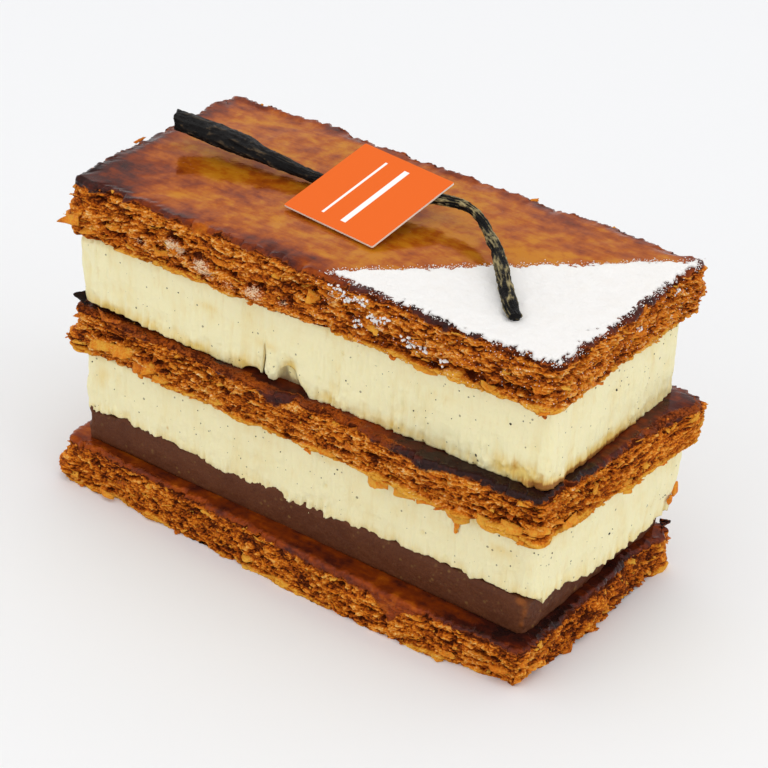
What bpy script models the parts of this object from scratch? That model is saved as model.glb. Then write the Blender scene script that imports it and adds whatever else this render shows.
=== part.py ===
"""A mille-feuille slice: three caramelised puff pastry slabs, two vanilla creams and a praline
layer, with a dried vanilla pod and a small square card on top.

X runs along the slice, Y across it and Z up.  Sizes are in metres, and MM turns millimetres
into metres.  Every layer is a ring of points on its own four corners, carried up level by level.
"""

import math

import bmesh
import bpy
from mathutils import Euler, Matrix, Vector, noise

MM = 0.001

# The heights at which one layer meets the next, at the middle of the slice.
FLOOR = 0.0
PRALINE_BASE = 9.5 * MM
LOWER_CREAM_BASE = 16.0 * MM
MIDDLE_PASTRY_BASE = 30.4 * MM
UPPER_CREAM_BASE = 39.6 * MM
TOP_PASTRY_BASE = 56.2 * MM
GLAZE_TOP = 66.9 * MM

# How far each of those joints rises for each unit of length towards +X.
PRALINE_TILT = -0.006
LOWER_CREAM_TILT = 0.0
MIDDLE_PASTRY_TILT = 0.012
UPPER_CREAM_TILT = 0.012
TOP_PASTRY_TILT = 0.024

# Every solid keeps this gap to the one it rests on.
GAP = 0.3 * MM

# The corners of each layer, front left first and then anticlockwise seen from above.
BOTTOM_PASTRY_CORNERS = [(-55.6 * MM, -25.6 * MM), (53.9 * MM, -27.6 * MM),
                         (53.6 * MM, 25.6 * MM), (-55.4 * MM, 25.2 * MM)]
PRALINE_CORNERS = [(-52.0 * MM, -22.5 * MM), (51.2 * MM, -22.7 * MM),
                   (51.4 * MM, 24.2 * MM), (-52.0 * MM, 23.6 * MM)]
LOWER_CREAM_CORNERS = [(-52.4 * MM, -22.4 * MM), (52.8 * MM, -22.4 * MM),
                       (55.6 * MM, 23.6 * MM), (-52.4 * MM, 23.4 * MM)]
MIDDLE_PASTRY_CORNERS = [(-54.2 * MM, -23.6 * MM), (54.0 * MM, -25.4 * MM),
                         (58.2 * MM, 24.4 * MM), (-54.2 * MM, 24.8 * MM)]
UPPER_CREAM_CORNERS = [(-52.4 * MM, -22.4 * MM), (53.0 * MM, -22.4 * MM),
                       (52.8 * MM, 21.6 * MM), (-52.2 * MM, 22.6 * MM)]
TOP_PASTRY_CORNERS = [(-54.0 * MM, -24.2 * MM), (54.6 * MM, -25.0 * MM),
                      (54.4 * MM, 25.2 * MM), (-54.4 * MM, 25.6 * MM)]

PASTRY_CORNER_RADIUS = 2.4 * MM
CREAM_CORNER_RADIUS = 1.6 * MM
CORNER_SEGMENTS = 3
PASTRY_SPACING = 3.2 * MM
CREAM_SPACING = 5.0 * MM

# The side of a slab of puffed leaves, from its underside to its rim: how high each ring lies,
# as a share of the slab's thickness, and how far the leaf there stands out.
LEAF_RINGS = [(0.10, 0.3 * MM), (0.26, -0.9 * MM), (0.42, 0.2 * MM), (0.58, -0.6 * MM),
              (0.74, 0.2 * MM), (0.92, 0.0 * MM), (1.00, -0.9 * MM)]
LEAF_RAGGEDNESS = 0.8 * MM
LEAF_RAG_SIZE = 5.0 * MM

# The lowest leaf is a skin whose front edge hangs a little below the slab's flat underside.
SKIN_MARGIN = 0.7 * MM
SKIN_REACH = 0.5 * MM
SKIN_SAG = 0.5 * MM

# The caramelised top rolls over its rim and swells a little inside it: how wide the rolled rim
# is, and at what shares of that width its two rings lie.
GLAZE_MARGIN = 4.0 * MM
GLAZE_RING_SHARES = (0.4, 1.0)
GLAZE_SWELL = 0.5 * MM
GLAZE_SWELL_SIZE = 22.0 * MM

# The side of a knife-cut cream or praline layer.
CUT_RINGS = [(0.00, -0.2 * MM), (0.14, 0.0 * MM), (0.38, 0.1 * MM), (0.66, 0.1 * MM),
             (1.00, -0.1 * MM)]
CUT_RAGGEDNESS = 0.3 * MM
CUT_RAG_SIZE = 9.0 * MM

# Places where a layer departs from its ring: the place, how far it stands out (or in, where
# it is negative), how far that reaches along the edge, and how far up and down.
BOTTOM_PASTRY_BUMPS = [
    ((14.0 * MM, -27.0 * MM, 6.0 * MM), 1.3 * MM, 24.0 * MM, 20.0 * MM),
    ((-56.0 * MM, -24.0 * MM, 3.0 * MM), 2.4 * MM, 3.6 * MM, 2.6 * MM),
    ((-43.0 * MM, -26.0 * MM, 0.5 * MM), -1.2 * MM, 4.5 * MM, 3.0 * MM),
    ((50.0 * MM, -27.0 * MM, 0.0 * MM), -2.6 * MM, 11.0 * MM, 4.5 * MM),
    ((54.0 * MM, -4.0 * MM, 4.0 * MM), 0.8 * MM, 5.0 * MM, 3.0 * MM),
    ((54.0 * MM, 12.0 * MM, 7.0 * MM), -0.9 * MM, 4.0 * MM, 3.0 * MM),
]
MIDDLE_PASTRY_BUMPS = [
    ((-54.4 * MM, -20.5 * MM, 39.6 * MM), 2.6 * MM, 3.0 * MM, 1.6 * MM),
    ((-54.4 * MM, -22.0 * MM, 32.0 * MM), 2.2 * MM, 3.6 * MM, 1.6 * MM),
    ((28.0 * MM, -25.0 * MM, 39.0 * MM), 2.0 * MM, 10.0 * MM, 6.0 * MM),
    ((-11.0 * MM, -24.0 * MM, 38.0 * MM), 1.2 * MM, 8.0 * MM, 8.0 * MM),
    ((58.4 * MM, 20.0 * MM, 38.4 * MM), 1.2 * MM, 4.0 * MM, 3.0 * MM),
]
TOP_PASTRY_BUMPS = [
    ((-54.0 * MM, -23.0 * MM, 58.6 * MM), 3.2 * MM, 5.5 * MM, 2.6 * MM),
    ((-12.0 * MM, -24.5 * MM, 57.0 * MM), 0.8 * MM, 9.0 * MM, 3.0 * MM),
    ((-30.0 * MM, 26.0 * MM, 64.0 * MM), 1.2 * MM, 7.0 * MM, 6.0 * MM),
    ((34.0 * MM, 26.0 * MM, 64.0 * MM), 1.3 * MM, 6.0 * MM, 6.0 * MM),
    ((54.5 * MM, 22.0 * MM, 61.0 * MM), 1.0 * MM, 4.0 * MM, 3.0 * MM),
]
# The torn notch at the foot of the upper cream's front, and the slumped corner of the lower one.
UPPER_CREAM_BUMPS = [((-6.0 * MM, -22.4 * MM, 41.0 * MM), -2.0 * MM, 6.5 * MM, 3.5 * MM)]
LOWER_CREAM_BUMPS = [((55.6 * MM, 22.0 * MM, 15.0 * MM), -2.0 * MM, 9.0 * MM, 5.0 * MM)]
PRALINE_BUMPS = [((51.2 * MM, 8.0 * MM, 13.0 * MM), -0.7 * MM, 5.0 * MM, 6.0 * MM)]

# The pod's middle line from its ragged left end, with its width and its thickness there.
POD_ROUTE = [
    ((-47.2 * MM, -0.9 * MM, 72.3 * MM), 5.0 * MM, 2.6 * MM),
    ((-41.4 * MM, 1.1 * MM, 71.4 * MM), 6.0 * MM, 3.0 * MM),
    ((-32.5 * MM, 2.2 * MM, 70.4 * MM), 6.2 * MM, 3.0 * MM),
    ((-25.4 * MM, 2.6 * MM, 69.5 * MM), 4.8 * MM, 2.6 * MM),
    ((-20.4 * MM, 2.8 * MM, 68.8 * MM), 3.6 * MM, 2.0 * MM),
    ((-14.0 * MM, 2.9 * MM, 68.4 * MM), 2.6 * MM, 1.7 * MM),
    ((-3.0 * MM, 4.4 * MM, 69.2 * MM), 2.5 * MM, 1.7 * MM),
    ((8.0 * MM, 6.8 * MM, 70.3 * MM), 2.6 * MM, 1.7 * MM),
    ((14.5 * MM, 7.4 * MM, 70.9 * MM), 2.4 * MM, 1.7 * MM),
    ((18.6 * MM, 6.2 * MM, 70.9 * MM), 2.3 * MM, 1.8 * MM),
    ((22.4 * MM, 3.4 * MM, 70.6 * MM), 2.3 * MM, 1.8 * MM),
    ((26.6 * MM, -1.0 * MM, 70.0 * MM), 2.5 * MM, 1.8 * MM),
    ((31.0 * MM, -6.2 * MM, 69.3 * MM), 2.7 * MM, 1.8 * MM),
    ((34.8 * MM, -10.8 * MM, 68.7 * MM), 2.8 * MM, 1.7 * MM),
    ((38.6 * MM, -14.9 * MM, 68.3 * MM), 2.6 * MM, 1.6 * MM),
    ((40.8 * MM, -16.4 * MM, 68.1 * MM), 1.8 * MM, 1.3 * MM),
]
POD_STEPS = 3
POD_SIDES = 12
POD_GROOVE = 0.86
POD_TORN_LEAN = 1.4 * MM

CARD_WIDTH = 22.2 * MM
CARD_LENGTH = 22.3 * MM
CARD_THICKNESS = 0.4 * MM
CARD_CORNER_RADIUS = 0.3 * MM
CARD_FRONT_LEFT = (-15.5 * MM, -8.6 * MM, 67.3 * MM)
CARD_YAW = math.radians(-7.0)
CARD_LEAN = math.radians(14.4)

MATERIALS = {
    "baked_pastry": ((0.40, 0.17, 0.045), 0.6, 0.0),
    "caramelised_pastry": ((0.33, 0.12, 0.03), 0.35, 0.0),
    "praline": ((0.085, 0.036, 0.02), 0.55, 0.0),
    "vanilla_cream": ((0.83, 0.78, 0.52), 0.5, 0.0),
    "dried_pod": ((0.02, 0.018, 0.014), 0.5, 0.0),
    "card_stock": ((0.90, 0.21, 0.04), 0.6, 0.0),
}


def clear_scene():
    """Start from an empty scene."""
    for scene_object in list(bpy.data.objects):
        bpy.data.objects.remove(scene_object, do_unlink=True)


def make_material(name):
    """A Principled material with the colour, roughness and metallic value of MATERIALS."""
    colour, roughness, metallic = MATERIALS[name]
    material = bpy.data.materials.new(name)
    material.use_nodes = True
    shader = material.node_tree.nodes["Principled BSDF"]
    shader.inputs["Base Color"].default_value = (*colour, 1.0)
    shader.inputs["Roughness"].default_value = roughness
    shader.inputs["Metallic"].default_value = metallic
    return material


def finish_object(name, bm, material, smooth=False):
    """Turn a bmesh into a named object with all its faces turned outwards."""
    bmesh.ops.recalc_face_normals(bm, faces=bm.faces)
    bmesh.ops.triangulate(bm, faces=bm.faces)
    mesh = bpy.data.meshes.new(name)
    bm.to_mesh(mesh)
    bm.free()
    if smooth:
        mesh.shade_smooth()
    mesh.materials.append(material)
    scene_object = bpy.data.objects.new(name, mesh)
    bpy.context.scene.collection.objects.link(scene_object)
    return scene_object


def plan_ring(corners, radius, spacing):
    """Points round a layer's plan with rounded corners, each with its outward direction."""
    plan = bmesh.new()
    plan.faces.new([plan.verts.new((x, y, 0.0)) for x, y in corners])
    bmesh.ops.bevel(plan, geom=plan.verts[:], offset=radius, offset_type="OFFSET",
                    segments=CORNER_SEGMENTS, profile=0.5, affect="VERTICES", material=-1)
    for edge in plan.edges[:]:
        cuts = round(edge.calc_length() / spacing) - 1
        if cuts > 0:
            bmesh.ops.subdivide_edges(plan, edges=[edge], cuts=cuts)
    plan.faces.ensure_lookup_table()
    points = [loop.vert.co.copy() for loop in plan.faces[0].loops]
    plan.free()
    ring = []
    for index, point in enumerate(points):
        along = points[(index + 1) % len(points)] - points[index - 1]
        ring.append((point, Vector((along.y, -along.x, 0.0)).normalized()))
    return ring


def plane_height(base, tilt, point):
    """The height of a joint between two layers at a point's X."""
    return base + tilt * point.x


def bump_offset(point, bumps):
    """How far the named bumps push a point outwards."""
    total = 0.0
    for (x, y, z), reach, along, upright in bumps:
        across = math.hypot(point.x - x, point.y - y) / along
        above = (point.z - z) / upright
        total += reach * math.exp(-across * across - above * above)
    return total


def carry_ring_up(bm, ring_verts, positions):
    """Extrude a ring of vertices once, and set the new ring on the given positions."""
    pairs = zip(ring_verts, ring_verts[1:] + ring_verts[:1])
    edges = [bm.edges.get(pair) for pair in pairs]
    station = bm.verts.layers.int["station"]
    extruded = bmesh.ops.extrude_edge_only(bm, edges=edges)
    new_verts = [item for item in extruded["geom"] if isinstance(item, bmesh.types.BMVert)]
    new_verts.sort(key=lambda vert: vert[station])
    for vert, position in zip(new_verts, positions):
        vert.co = position
    return new_verts


def loft_rings(rings):
    """A closed body through rings of equally many points, with a flat face at either end."""
    bm = bmesh.new()
    station = bm.verts.layers.int.new("station")
    ring_verts = []
    for index, position in enumerate(rings[0]):
        vert = bm.verts.new(position)
        vert[station] = index
        ring_verts.append(vert)
    bm.faces.new(ring_verts)
    for positions in rings[1:]:
        ring_verts = carry_ring_up(bm, ring_verts, positions)
    bm.faces.new(ring_verts)
    return bm


def side_ring(plan, low, high, share, stand_out, raggedness, rag_size, bumps):
    """One ring of a layer's side, at a share of the way from its low to its high joint."""
    positions = []
    for point, outward in plan:
        place = point.copy()
        place.z = (1.0 - share) * low(point) + share * high(point)
        wander = noise.noise(place / rag_size) * raggedness
        offset = stand_out + wander + bump_offset(place, bumps)
        positions.append(place + outward * offset)
    return positions


def cut_layer(name, corners, low, high, bumps, material):
    """A cream or praline layer, with sides that a knife has dragged down."""
    plan = plan_ring(corners, CREAM_CORNER_RADIUS, CREAM_SPACING)
    rings = [side_ring(plan, low, high, share, stand_out, CUT_RAGGEDNESS, CUT_RAG_SIZE, bumps)
             for share, stand_out in CUT_RINGS]
    return finish_object(name, loft_rings(rings), material)


def pastry_layer(name, corners, low, high, bumps, material, sag=0.0, swell=0.0):
    """A puff pastry slab: a flat underside, a side of uneven leaves and a rounded rim."""
    plan = plan_ring(corners, PASTRY_CORNER_RADIUS, PASTRY_SPACING)
    underside = []
    skin = []
    for point, outward in plan:
        foot = point + Vector((0.0, 0.0, low(point)))
        rag = 0.5 + 0.5 * noise.noise(foot / LEAF_RAG_SIZE)
        droop = sag * rag * max(0.0, -outward.y)
        bump = bump_offset(foot, bumps)
        underside.append(foot + outward * (min(0.0, bump) - SKIN_MARGIN))
        reach = SKIN_REACH * rag + bump
        skin.append(foot + outward * reach - Vector((0.0, 0.0, droop)))
    rings = [underside, skin]
    for share, stand_out in LEAF_RINGS:
        rings.append(side_ring(plan, low, high, share, stand_out, LEAF_RAGGEDNESS,
                               LEAF_RAG_SIZE, bumps))
    for share in GLAZE_RING_SHARES:
        inner = []
        for point, outward in plan:
            place = point - outward * GLAZE_MARGIN * share
            lift = swell * (1.0 - share) * noise.noise(place / GLAZE_SWELL_SIZE)
            place.z = high(point) + lift
            inner.append(place)
        rings.append(inner)
    return finish_object(name, loft_rings(rings), material)


def smooth_route(points, steps):
    """Points on a smooth curve through the given ones, with the given steps between two."""
    route = []
    for index in range(len(points) - 1):
        before = points[max(index - 1, 0)]
        start = points[index]
        end = points[index + 1]
        after = points[min(index + 2, len(points) - 1)]
        for step in range(steps):
            t = step / steps
            route.append(0.5 * (2.0 * start + (end - before) * t
                                + (2.0 * before - 5.0 * start + 4.0 * end - after) * t * t
                                + (3.0 * start - before - 3.0 * end + after) * t * t * t))
    route.append(points[-1].copy())
    return route


def ring_edges(verts):
    """The edges that join the vertices of one ring."""
    members = set(verts)
    edges = {edge for vert in verts for edge in vert.link_edges}
    return [edge for edge in edges if members.issuperset(edge.verts)]


def vanilla_pod(material):
    """The dried pod: a flat ridged strap at its torn end that narrows to a thin stalk."""
    # A route point holds the place and the section's size side by side, so both are smoothed.
    stations = [Vector((*place, width, thickness)) for place, width, thickness in POD_ROUTE]
    stations = smooth_route(stations, POD_STEPS)
    centres = [Vector(station[0:3]) for station in stations]
    bm = bmesh.new()
    loops = []
    for index, centre in enumerate(centres):
        ahead = centres[min(index + 1, len(centres) - 1)] - centres[max(index - 1, 0)]
        ahead.normalize()
        across = Vector((-ahead.y, ahead.x, 0.0)).normalized()
        frame = Matrix((across, ahead.cross(across), ahead)).transposed().to_4x4()
        width, thickness = stations[index][3:5]
        section = Matrix.Diagonal((width, thickness, 1.0, 1.0))
        circle = bmesh.ops.create_circle(bm, segments=POD_SIDES, radius=0.5,
                                         matrix=Matrix.Translation(centre) @ frame @ section)
        for vert in circle["verts"][::2]:
            vert.co = centre.lerp(vert.co, POD_GROOVE)
        loops.append(circle["verts"])
    for vert in loops[0]:
        height = (vert.co.z - centres[0].z) / stations[0][4]
        vert.co.x -= POD_TORN_LEAN * height
    for low_ring, high_ring in zip(loops, loops[1:]):
        edges = [edge for ring in (low_ring, high_ring) for edge in ring_edges(ring)]
        bmesh.ops.bridge_loops(bm, edges=edges)
    bm.faces.new(loops[0])
    bm.faces.new(loops[-1])
    return finish_object("vanilla_pod", bm, material, smooth=True)


def label_card(material):
    """The bare square card, leaning with its front edge on the glaze and its middle on the pod."""
    bm = bmesh.new()
    size = (CARD_WIDTH, CARD_LENGTH, CARD_THICKNESS)
    centre = Vector(size) / 2.0
    place = Matrix.Translation(centre) @ Matrix.Diagonal((*size, 1.0))
    bmesh.ops.create_cube(bm, size=1.0, matrix=place)
    upright = [edge for edge in bm.edges
               if abs(edge.verts[0].co.z - edge.verts[1].co.z) > CARD_THICKNESS / 2.0]
    bmesh.ops.bevel(bm, geom=upright, offset=CARD_CORNER_RADIUS, segments=2, profile=0.5,
                    affect="EDGES", material=-1)
    lean = Euler((CARD_LEAN, 0.0, 0.0)).to_matrix().to_4x4()
    yaw = Matrix.Rotation(CARD_YAW, 4, "Z")
    bmesh.ops.transform(bm, matrix=Matrix.Translation(CARD_FRONT_LEFT) @ yaw @ lean,
                        verts=bm.verts)
    return finish_object("label_card", bm, material)


def joint(base, tilt, clearance=0.0):
    """The height of a joint as a function of a point, raised by a clearance."""
    return lambda point: plane_height(base, tilt, point) + clearance


def stand_on_origin(pieces):
    """Move every piece so that the whole is centred over the origin and stands on z = 0."""
    points = [vert.co for piece in pieces for vert in piece.data.vertices]
    low = Vector([min(point[axis] for point in points) for axis in range(3)])
    high = Vector([max(point[axis] for point in points) for axis in range(3)])
    foot = Vector(((low.x + high.x) / 2.0, (low.y + high.y) / 2.0, low.z))
    for piece in pieces:
        piece.data.transform(Matrix.Translation(-foot))


def main():
    """Build the slice from the floor up."""
    clear_scene()
    baked = make_material("baked_pastry")
    caramelised = make_material("caramelised_pastry")
    praline = make_material("praline")
    cream = make_material("vanilla_cream")
    dried_pod = make_material("dried_pod")
    card_stock = make_material("card_stock")
    pieces = [
        pastry_layer("pastry_bottom", BOTTOM_PASTRY_CORNERS, joint(FLOOR, 0.0),
                     joint(PRALINE_BASE, PRALINE_TILT), BOTTOM_PASTRY_BUMPS, baked),
        cut_layer("praline", PRALINE_CORNERS, joint(PRALINE_BASE, PRALINE_TILT, GAP),
                  joint(LOWER_CREAM_BASE, LOWER_CREAM_TILT), PRALINE_BUMPS, praline),
        cut_layer("cream_lower", LOWER_CREAM_CORNERS,
                  joint(LOWER_CREAM_BASE, LOWER_CREAM_TILT, GAP),
                  joint(MIDDLE_PASTRY_BASE, MIDDLE_PASTRY_TILT), LOWER_CREAM_BUMPS, cream),
        pastry_layer("pastry_middle", MIDDLE_PASTRY_CORNERS,
                     joint(MIDDLE_PASTRY_BASE, MIDDLE_PASTRY_TILT, GAP),
                     joint(UPPER_CREAM_BASE, UPPER_CREAM_TILT), MIDDLE_PASTRY_BUMPS,
                     baked, sag=SKIN_SAG),
        cut_layer("cream_upper", UPPER_CREAM_CORNERS,
                  joint(UPPER_CREAM_BASE, UPPER_CREAM_TILT, GAP),
                  joint(TOP_PASTRY_BASE, TOP_PASTRY_TILT), UPPER_CREAM_BUMPS, cream),
        pastry_layer("pastry_top", TOP_PASTRY_CORNERS,
                     joint(TOP_PASTRY_BASE, TOP_PASTRY_TILT, GAP), joint(GLAZE_TOP, 0.0),
                     TOP_PASTRY_BUMPS, caramelised, sag=SKIN_SAG, swell=GLAZE_SWELL),
        vanilla_pod(dried_pod),
        label_card(card_stock),
    ]
    stand_on_origin(pieces)


main()
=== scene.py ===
"""The looks of a mille-feuille slice: baked puff pastry, vanilla creams, praline, a caramel glaze,
icing sugar, a dried vanilla pod and a small printed card, on a pale studio floor.

The file is laid out as an add-on.  X runs along the slice, Y across it and Z up, in metres.
"""

import itertools
import math
from types import SimpleNamespace

import bmesh
import bpy
import numpy as np
from bpy.props import (FloatProperty, FloatVectorProperty, IntProperty, PointerProperty)
from mathutils import Euler, Matrix, Vector


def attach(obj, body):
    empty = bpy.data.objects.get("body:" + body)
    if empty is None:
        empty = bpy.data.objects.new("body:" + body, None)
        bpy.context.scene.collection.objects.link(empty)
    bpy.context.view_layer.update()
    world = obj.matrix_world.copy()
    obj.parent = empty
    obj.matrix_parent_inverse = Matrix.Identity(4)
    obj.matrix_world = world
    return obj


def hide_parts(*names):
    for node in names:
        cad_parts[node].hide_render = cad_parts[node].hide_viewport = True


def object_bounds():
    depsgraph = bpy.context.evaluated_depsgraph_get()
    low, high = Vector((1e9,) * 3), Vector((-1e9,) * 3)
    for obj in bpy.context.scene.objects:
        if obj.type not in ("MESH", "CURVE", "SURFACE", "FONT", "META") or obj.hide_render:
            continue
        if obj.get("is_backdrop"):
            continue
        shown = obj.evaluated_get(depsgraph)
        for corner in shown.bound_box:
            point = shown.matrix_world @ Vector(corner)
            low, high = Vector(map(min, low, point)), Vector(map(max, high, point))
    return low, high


bl_info = {
    "name": "Mille-feuille slice",
    "version": (1, 0, 0),
    "blender": (4, 5, 0),
    "location": "3D View > Sidebar > Slice",
    "description": "Builds the finishes of a mille-feuille slice over its plain solids",
    "category": "Object",
}

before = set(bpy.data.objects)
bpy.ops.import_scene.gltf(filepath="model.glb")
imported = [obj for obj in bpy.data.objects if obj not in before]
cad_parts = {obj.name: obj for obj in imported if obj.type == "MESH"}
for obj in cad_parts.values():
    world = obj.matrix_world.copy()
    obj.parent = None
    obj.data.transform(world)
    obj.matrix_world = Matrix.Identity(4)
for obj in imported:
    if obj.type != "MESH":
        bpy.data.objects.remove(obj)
CAD_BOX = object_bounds()

MM = 0.001

# The slice is drawn about the middle of its joints, and that point lies here in the frame.
DRAWING_ORIGIN = Vector((-1.03 * MM, 0.94 * MM, 0.0))

# The joints between the layers: the height at the middle, and the rise for each unit along +X.
FLOOR_JOINT = (0.0, 0.0)
PRALINE_JOINT = (9.5 * MM, -0.006)
LOWER_CREAM_JOINT = (16.0 * MM, 0.0)
MIDDLE_PASTRY_JOINT = (30.4 * MM, 0.012)
UPPER_CREAM_JOINT = (39.6 * MM, 0.012)
TOP_PASTRY_JOINT = (56.2 * MM, 0.024)
GLAZE_JOINT = (66.9 * MM, 0.0)

# How far the sides of the layers are inset to the spine that runs along the slice's middle.
HALF_WIDTH = 25.0 * MM


def joint_height(joint, x):
    """The height of a joint at each of the given X."""
    return joint[0] + joint[1] * x


class Layer:
    """One layer of the slice: its plan, the joints under and over it and its bumps."""

    def __init__(self, node, corners, low, high, radius, bumps):
        self.node = node
        self.corners = [Vector((x * MM, y * MM)) for x, y in corners]
        self.low = low
        self.high = high
        self.radius = radius * MM
        self.bumps = bumps


# Corners in millimetres, front left first and then anticlockwise seen from above.  The bumps are
# entries for dent.
BOTTOM_SLAB = Layer(
    "pastry_bottom", [(-55.6, -25.6), (53.9, -27.6), (53.6, 25.6), (-55.4, 25.2)],
    FLOOR_JOINT, PRALINE_JOINT, 2.4,
    [(14, -27, 6, 1.3, 24, 20), (-56, -24, 3, 2.2, 3.6, 2.6),
     (-43, -26, 0.5, -1.2, 4.5, 3), (50, -27, 0, -2.4, 11, 4.5),
     (54, -4, 4, 0.8, 5, 3), (54, 12, 7, -0.9, 4, 3)])
MIDDLE_SLAB = Layer(
    "pastry_middle", [(-54.2, -23.6), (54, -25.4), (58.2, 24.4), (-54.2, 24.8)],
    MIDDLE_PASTRY_JOINT, UPPER_CREAM_JOINT, 2.4,
    [(-54.4, -20.5, 39.6, 2.4, 3, 1.6), (-54.4, -22, 32, 2.2, 3.6, 1.6),
     (28, -25, 39, 2, 10, 6), (-11, -24, 38, 1.2, 8, 8),
     (58.4, 20, 38.4, 1.2, 4, 3)])
TOP_SLAB = Layer(
    "pastry_top", [(-54, -24.2), (54.6, -25), (54.4, 25.2), (-54.4, 25.6)],
    TOP_PASTRY_JOINT, GLAZE_JOINT, 2.4,
    [(-54, -23, 58.6, 1.2, 5.5, 2.6), (-12, -24.5, 57, 0.8, 9, 3),
     (-30, 26, 64, 1.2, 7, 6), (34, 26, 64, 1.3, 6, 6),
     (54.5, 22, 61, 1, 4, 3)])
PRALINE_BAND = Layer(
    "praline", [(-52, -22.5), (51.2, -22.7), (51.4, 24.2), (-52, 23.6)],
    PRALINE_JOINT, LOWER_CREAM_JOINT, 1.6, [(51.2, 8, 13, -0.7, 5, 6)])
LOWER_CREAM = Layer(
    "cream_lower", [(-52.4, -22.4), (52.8, -22.4), (55.6, 23.6), (-52.4, 23.4)],
    LOWER_CREAM_JOINT, MIDDLE_PASTRY_JOINT, 1.8, [(55.6, 20, 15, -1.2, 9, 5)])
UPPER_CREAM = Layer(
    "cream_upper", [(-52.4, -22.4), (53, -22.4), (52.8, 21.6), (-52.2, 22.6)],
    UPPER_CREAM_JOINT, TOP_PASTRY_JOINT, 1.6, [(-52.2, -20, 51, 1.1, 8, 8)])


# ---------------------------------------------------------------- sizes and colours to change

def size_in_mm(name, description, default, top):
    """A length property that defaults to some millimetres."""
    return FloatProperty(name=name, description=description, default=default * MM, min=0.0,
                         max=top * MM, unit="LENGTH", precision=4)


def tint(name, description, default):
    """A colour property."""
    return FloatVectorProperty(name=name, description=description, default=default,
                               subtype="COLOR", size=3, min=0.0, max=1.0)


class SliceSizes(bpy.types.PropertyGroup):
    """Sizes of the baked leaves, the toppings and the crumbs."""

    leaf_chip: size_in_mm("Leaf chips", "How far broken leaf edges stand in or out", 0.42, 3.0)
    leaf_gap: size_in_mm("Leaf gaps", "How deep the gaps between leaves usually are", 0.55, 4.0)
    crevice: size_in_mm("Holes", "How deep the open holes of the crumb are", 2.0, 6.0)
    crumb_relief: size_in_mm("Crumb relief", "Relief of the crumb on leaf edges", 0.24, 2.0)
    drag_relief: size_in_mm("Drag marks", "Relief of the knife marks in the creams", 0.34, 1.0)
    sugar_depth: size_in_mm("Sugar depth", "Depth of the dusted icing sugar", 0.45, 2.0)
    flake_count: IntProperty(name="Flakes", description="Loose flakes on the pastry sides",
                             default=900, min=0, max=2000)
    crumb_count: IntProperty(name="Crumbs", description="Crumbs on the pastry sides",
                             default=900, min=0, max=4000)
    grain_count: IntProperty(name="Sugar grains", description="Loose grains round the sugar",
                             default=2600, min=0, max=8000)
    seed_count: IntProperty(name="Vanilla seeds", description="Seeds showing in the creams",
                            default=340, min=0, max=2000)


class SliceColours(bpy.types.PropertyGroup):
    """Base colours of the finishes."""

    # The darkest crust colour, which the tone reaches at the bottom of gaps and recesses: painted shade
    # there, as well as the crust's own dark tone.
    crust_deep_and_shade: tint("Crust, deep", "Crust at the bottom of gaps", (0.075, 0.012, 0.002))
    crust_brown: tint("Crust, brown", "Well baked crust", (0.420, 0.084, 0.006))
    crust_amber: tint("Crust, amber", "Crust on leaf edges", (0.760, 0.225, 0.013))
    crust_gold: tint("Crust, gold", "Thin pale leaf edges", (0.930, 0.500, 0.110))
    skin_amber: tint("Skin, amber", "The skin along a slab's foot", (0.640, 0.220, 0.014))
    skin_gold: tint("Skin, gold", "The skin along a slab's foot, where pale", (0.800, 0.400, 0.045))
    glaze_gold: tint("Glaze, gold", "Caramel glaze where it is thin", (0.580, 0.205, 0.009))
    glaze_amber: tint("Glaze, amber", "Caramel glaze", (0.445, 0.102, 0.005))
    glaze_red: tint("Glaze, red", "Caramel glaze where it is thicker", (0.260, 0.042, 0.004))
    glaze_purple: tint("Glaze, purple", "Dark caramel glaze", (0.085, 0.014, 0.007))
    glaze_burnt: tint("Glaze, burnt", "Burnt caramel glaze", (0.024, 0.008, 0.007))
    cream: tint("Cream", "Vanilla cream", (0.900, 0.830, 0.510))
    # This colour serves for the pastry's stains on the cream and for painted shade on it.
    cream_stain_and_shade: tint("Cream, yolk", "Vanilla cream stained by the pastry", (0.800, 0.580, 0.170))
    praline: tint("Praline", "Nut paste", (0.084, 0.022, 0.007))
    pod: tint("Pod", "Dried vanilla pod", (0.006, 0.005, 0.005))
    card: tint("Card", "Print on the card", (0.830, 0.135, 0.010))
    paper: tint("Paper", "Bare paper of the card", (0.880, 0.780, 0.680))
    sugar: tint("Sugar", "Icing sugar", (0.930, 0.905, 0.880))


class StageSettings(bpy.types.PropertyGroup):
    """The floor, the lights and the camera."""

    floor: tint("Floor", "Colour of the floor", (0.878, 0.884, 0.898))
    sky_strength: FloatProperty(name="Sky", description="Strength of the light all round",
                                default=0.86, min=0.0, max=5.0)
    key_power: FloatProperty(name="Key light", description="Power of the large light overhead",
                             default=2.3, min=0.0, max=200.0, unit="POWER")
    front_power: FloatProperty(name="Front box", description="Power of the light in front",
                               default=2.4, min=0.0, max=200.0, unit="POWER")
    right_power: FloatProperty(name="Right box", description="Power of the light on the right",
                               default=3.1, min=0.0, max=200.0, unit="POWER")
    lens: FloatProperty(name="Lens", description="Focal length of the camera in millimetres",
                        default=117.77, min=10.0, max=400.0)


# ---------------------------------------------------------------- repeatable roughness

def scatter(cells, seed):
    """A repeatable random number from 0 to 1 for each whole-number cell."""
    whole = cells.astype(np.int64).astype(np.uint32)
    mixed = (whole[..., 0] * np.uint32(374761393) + whole[..., 1] * np.uint32(668265263)
             + whole[..., 2] * np.uint32(2246822519) + np.uint32(seed * 3266489917 % 2 ** 32))
    mixed = (mixed ^ (mixed >> np.uint32(15))) * np.uint32(2246822519)
    mixed = (mixed ^ (mixed >> np.uint32(13))) * np.uint32(3266489917)
    return ((mixed ^ (mixed >> np.uint32(16))) & np.uint32(0xFFFFFF)) / float(0xFFFFFF)


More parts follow.
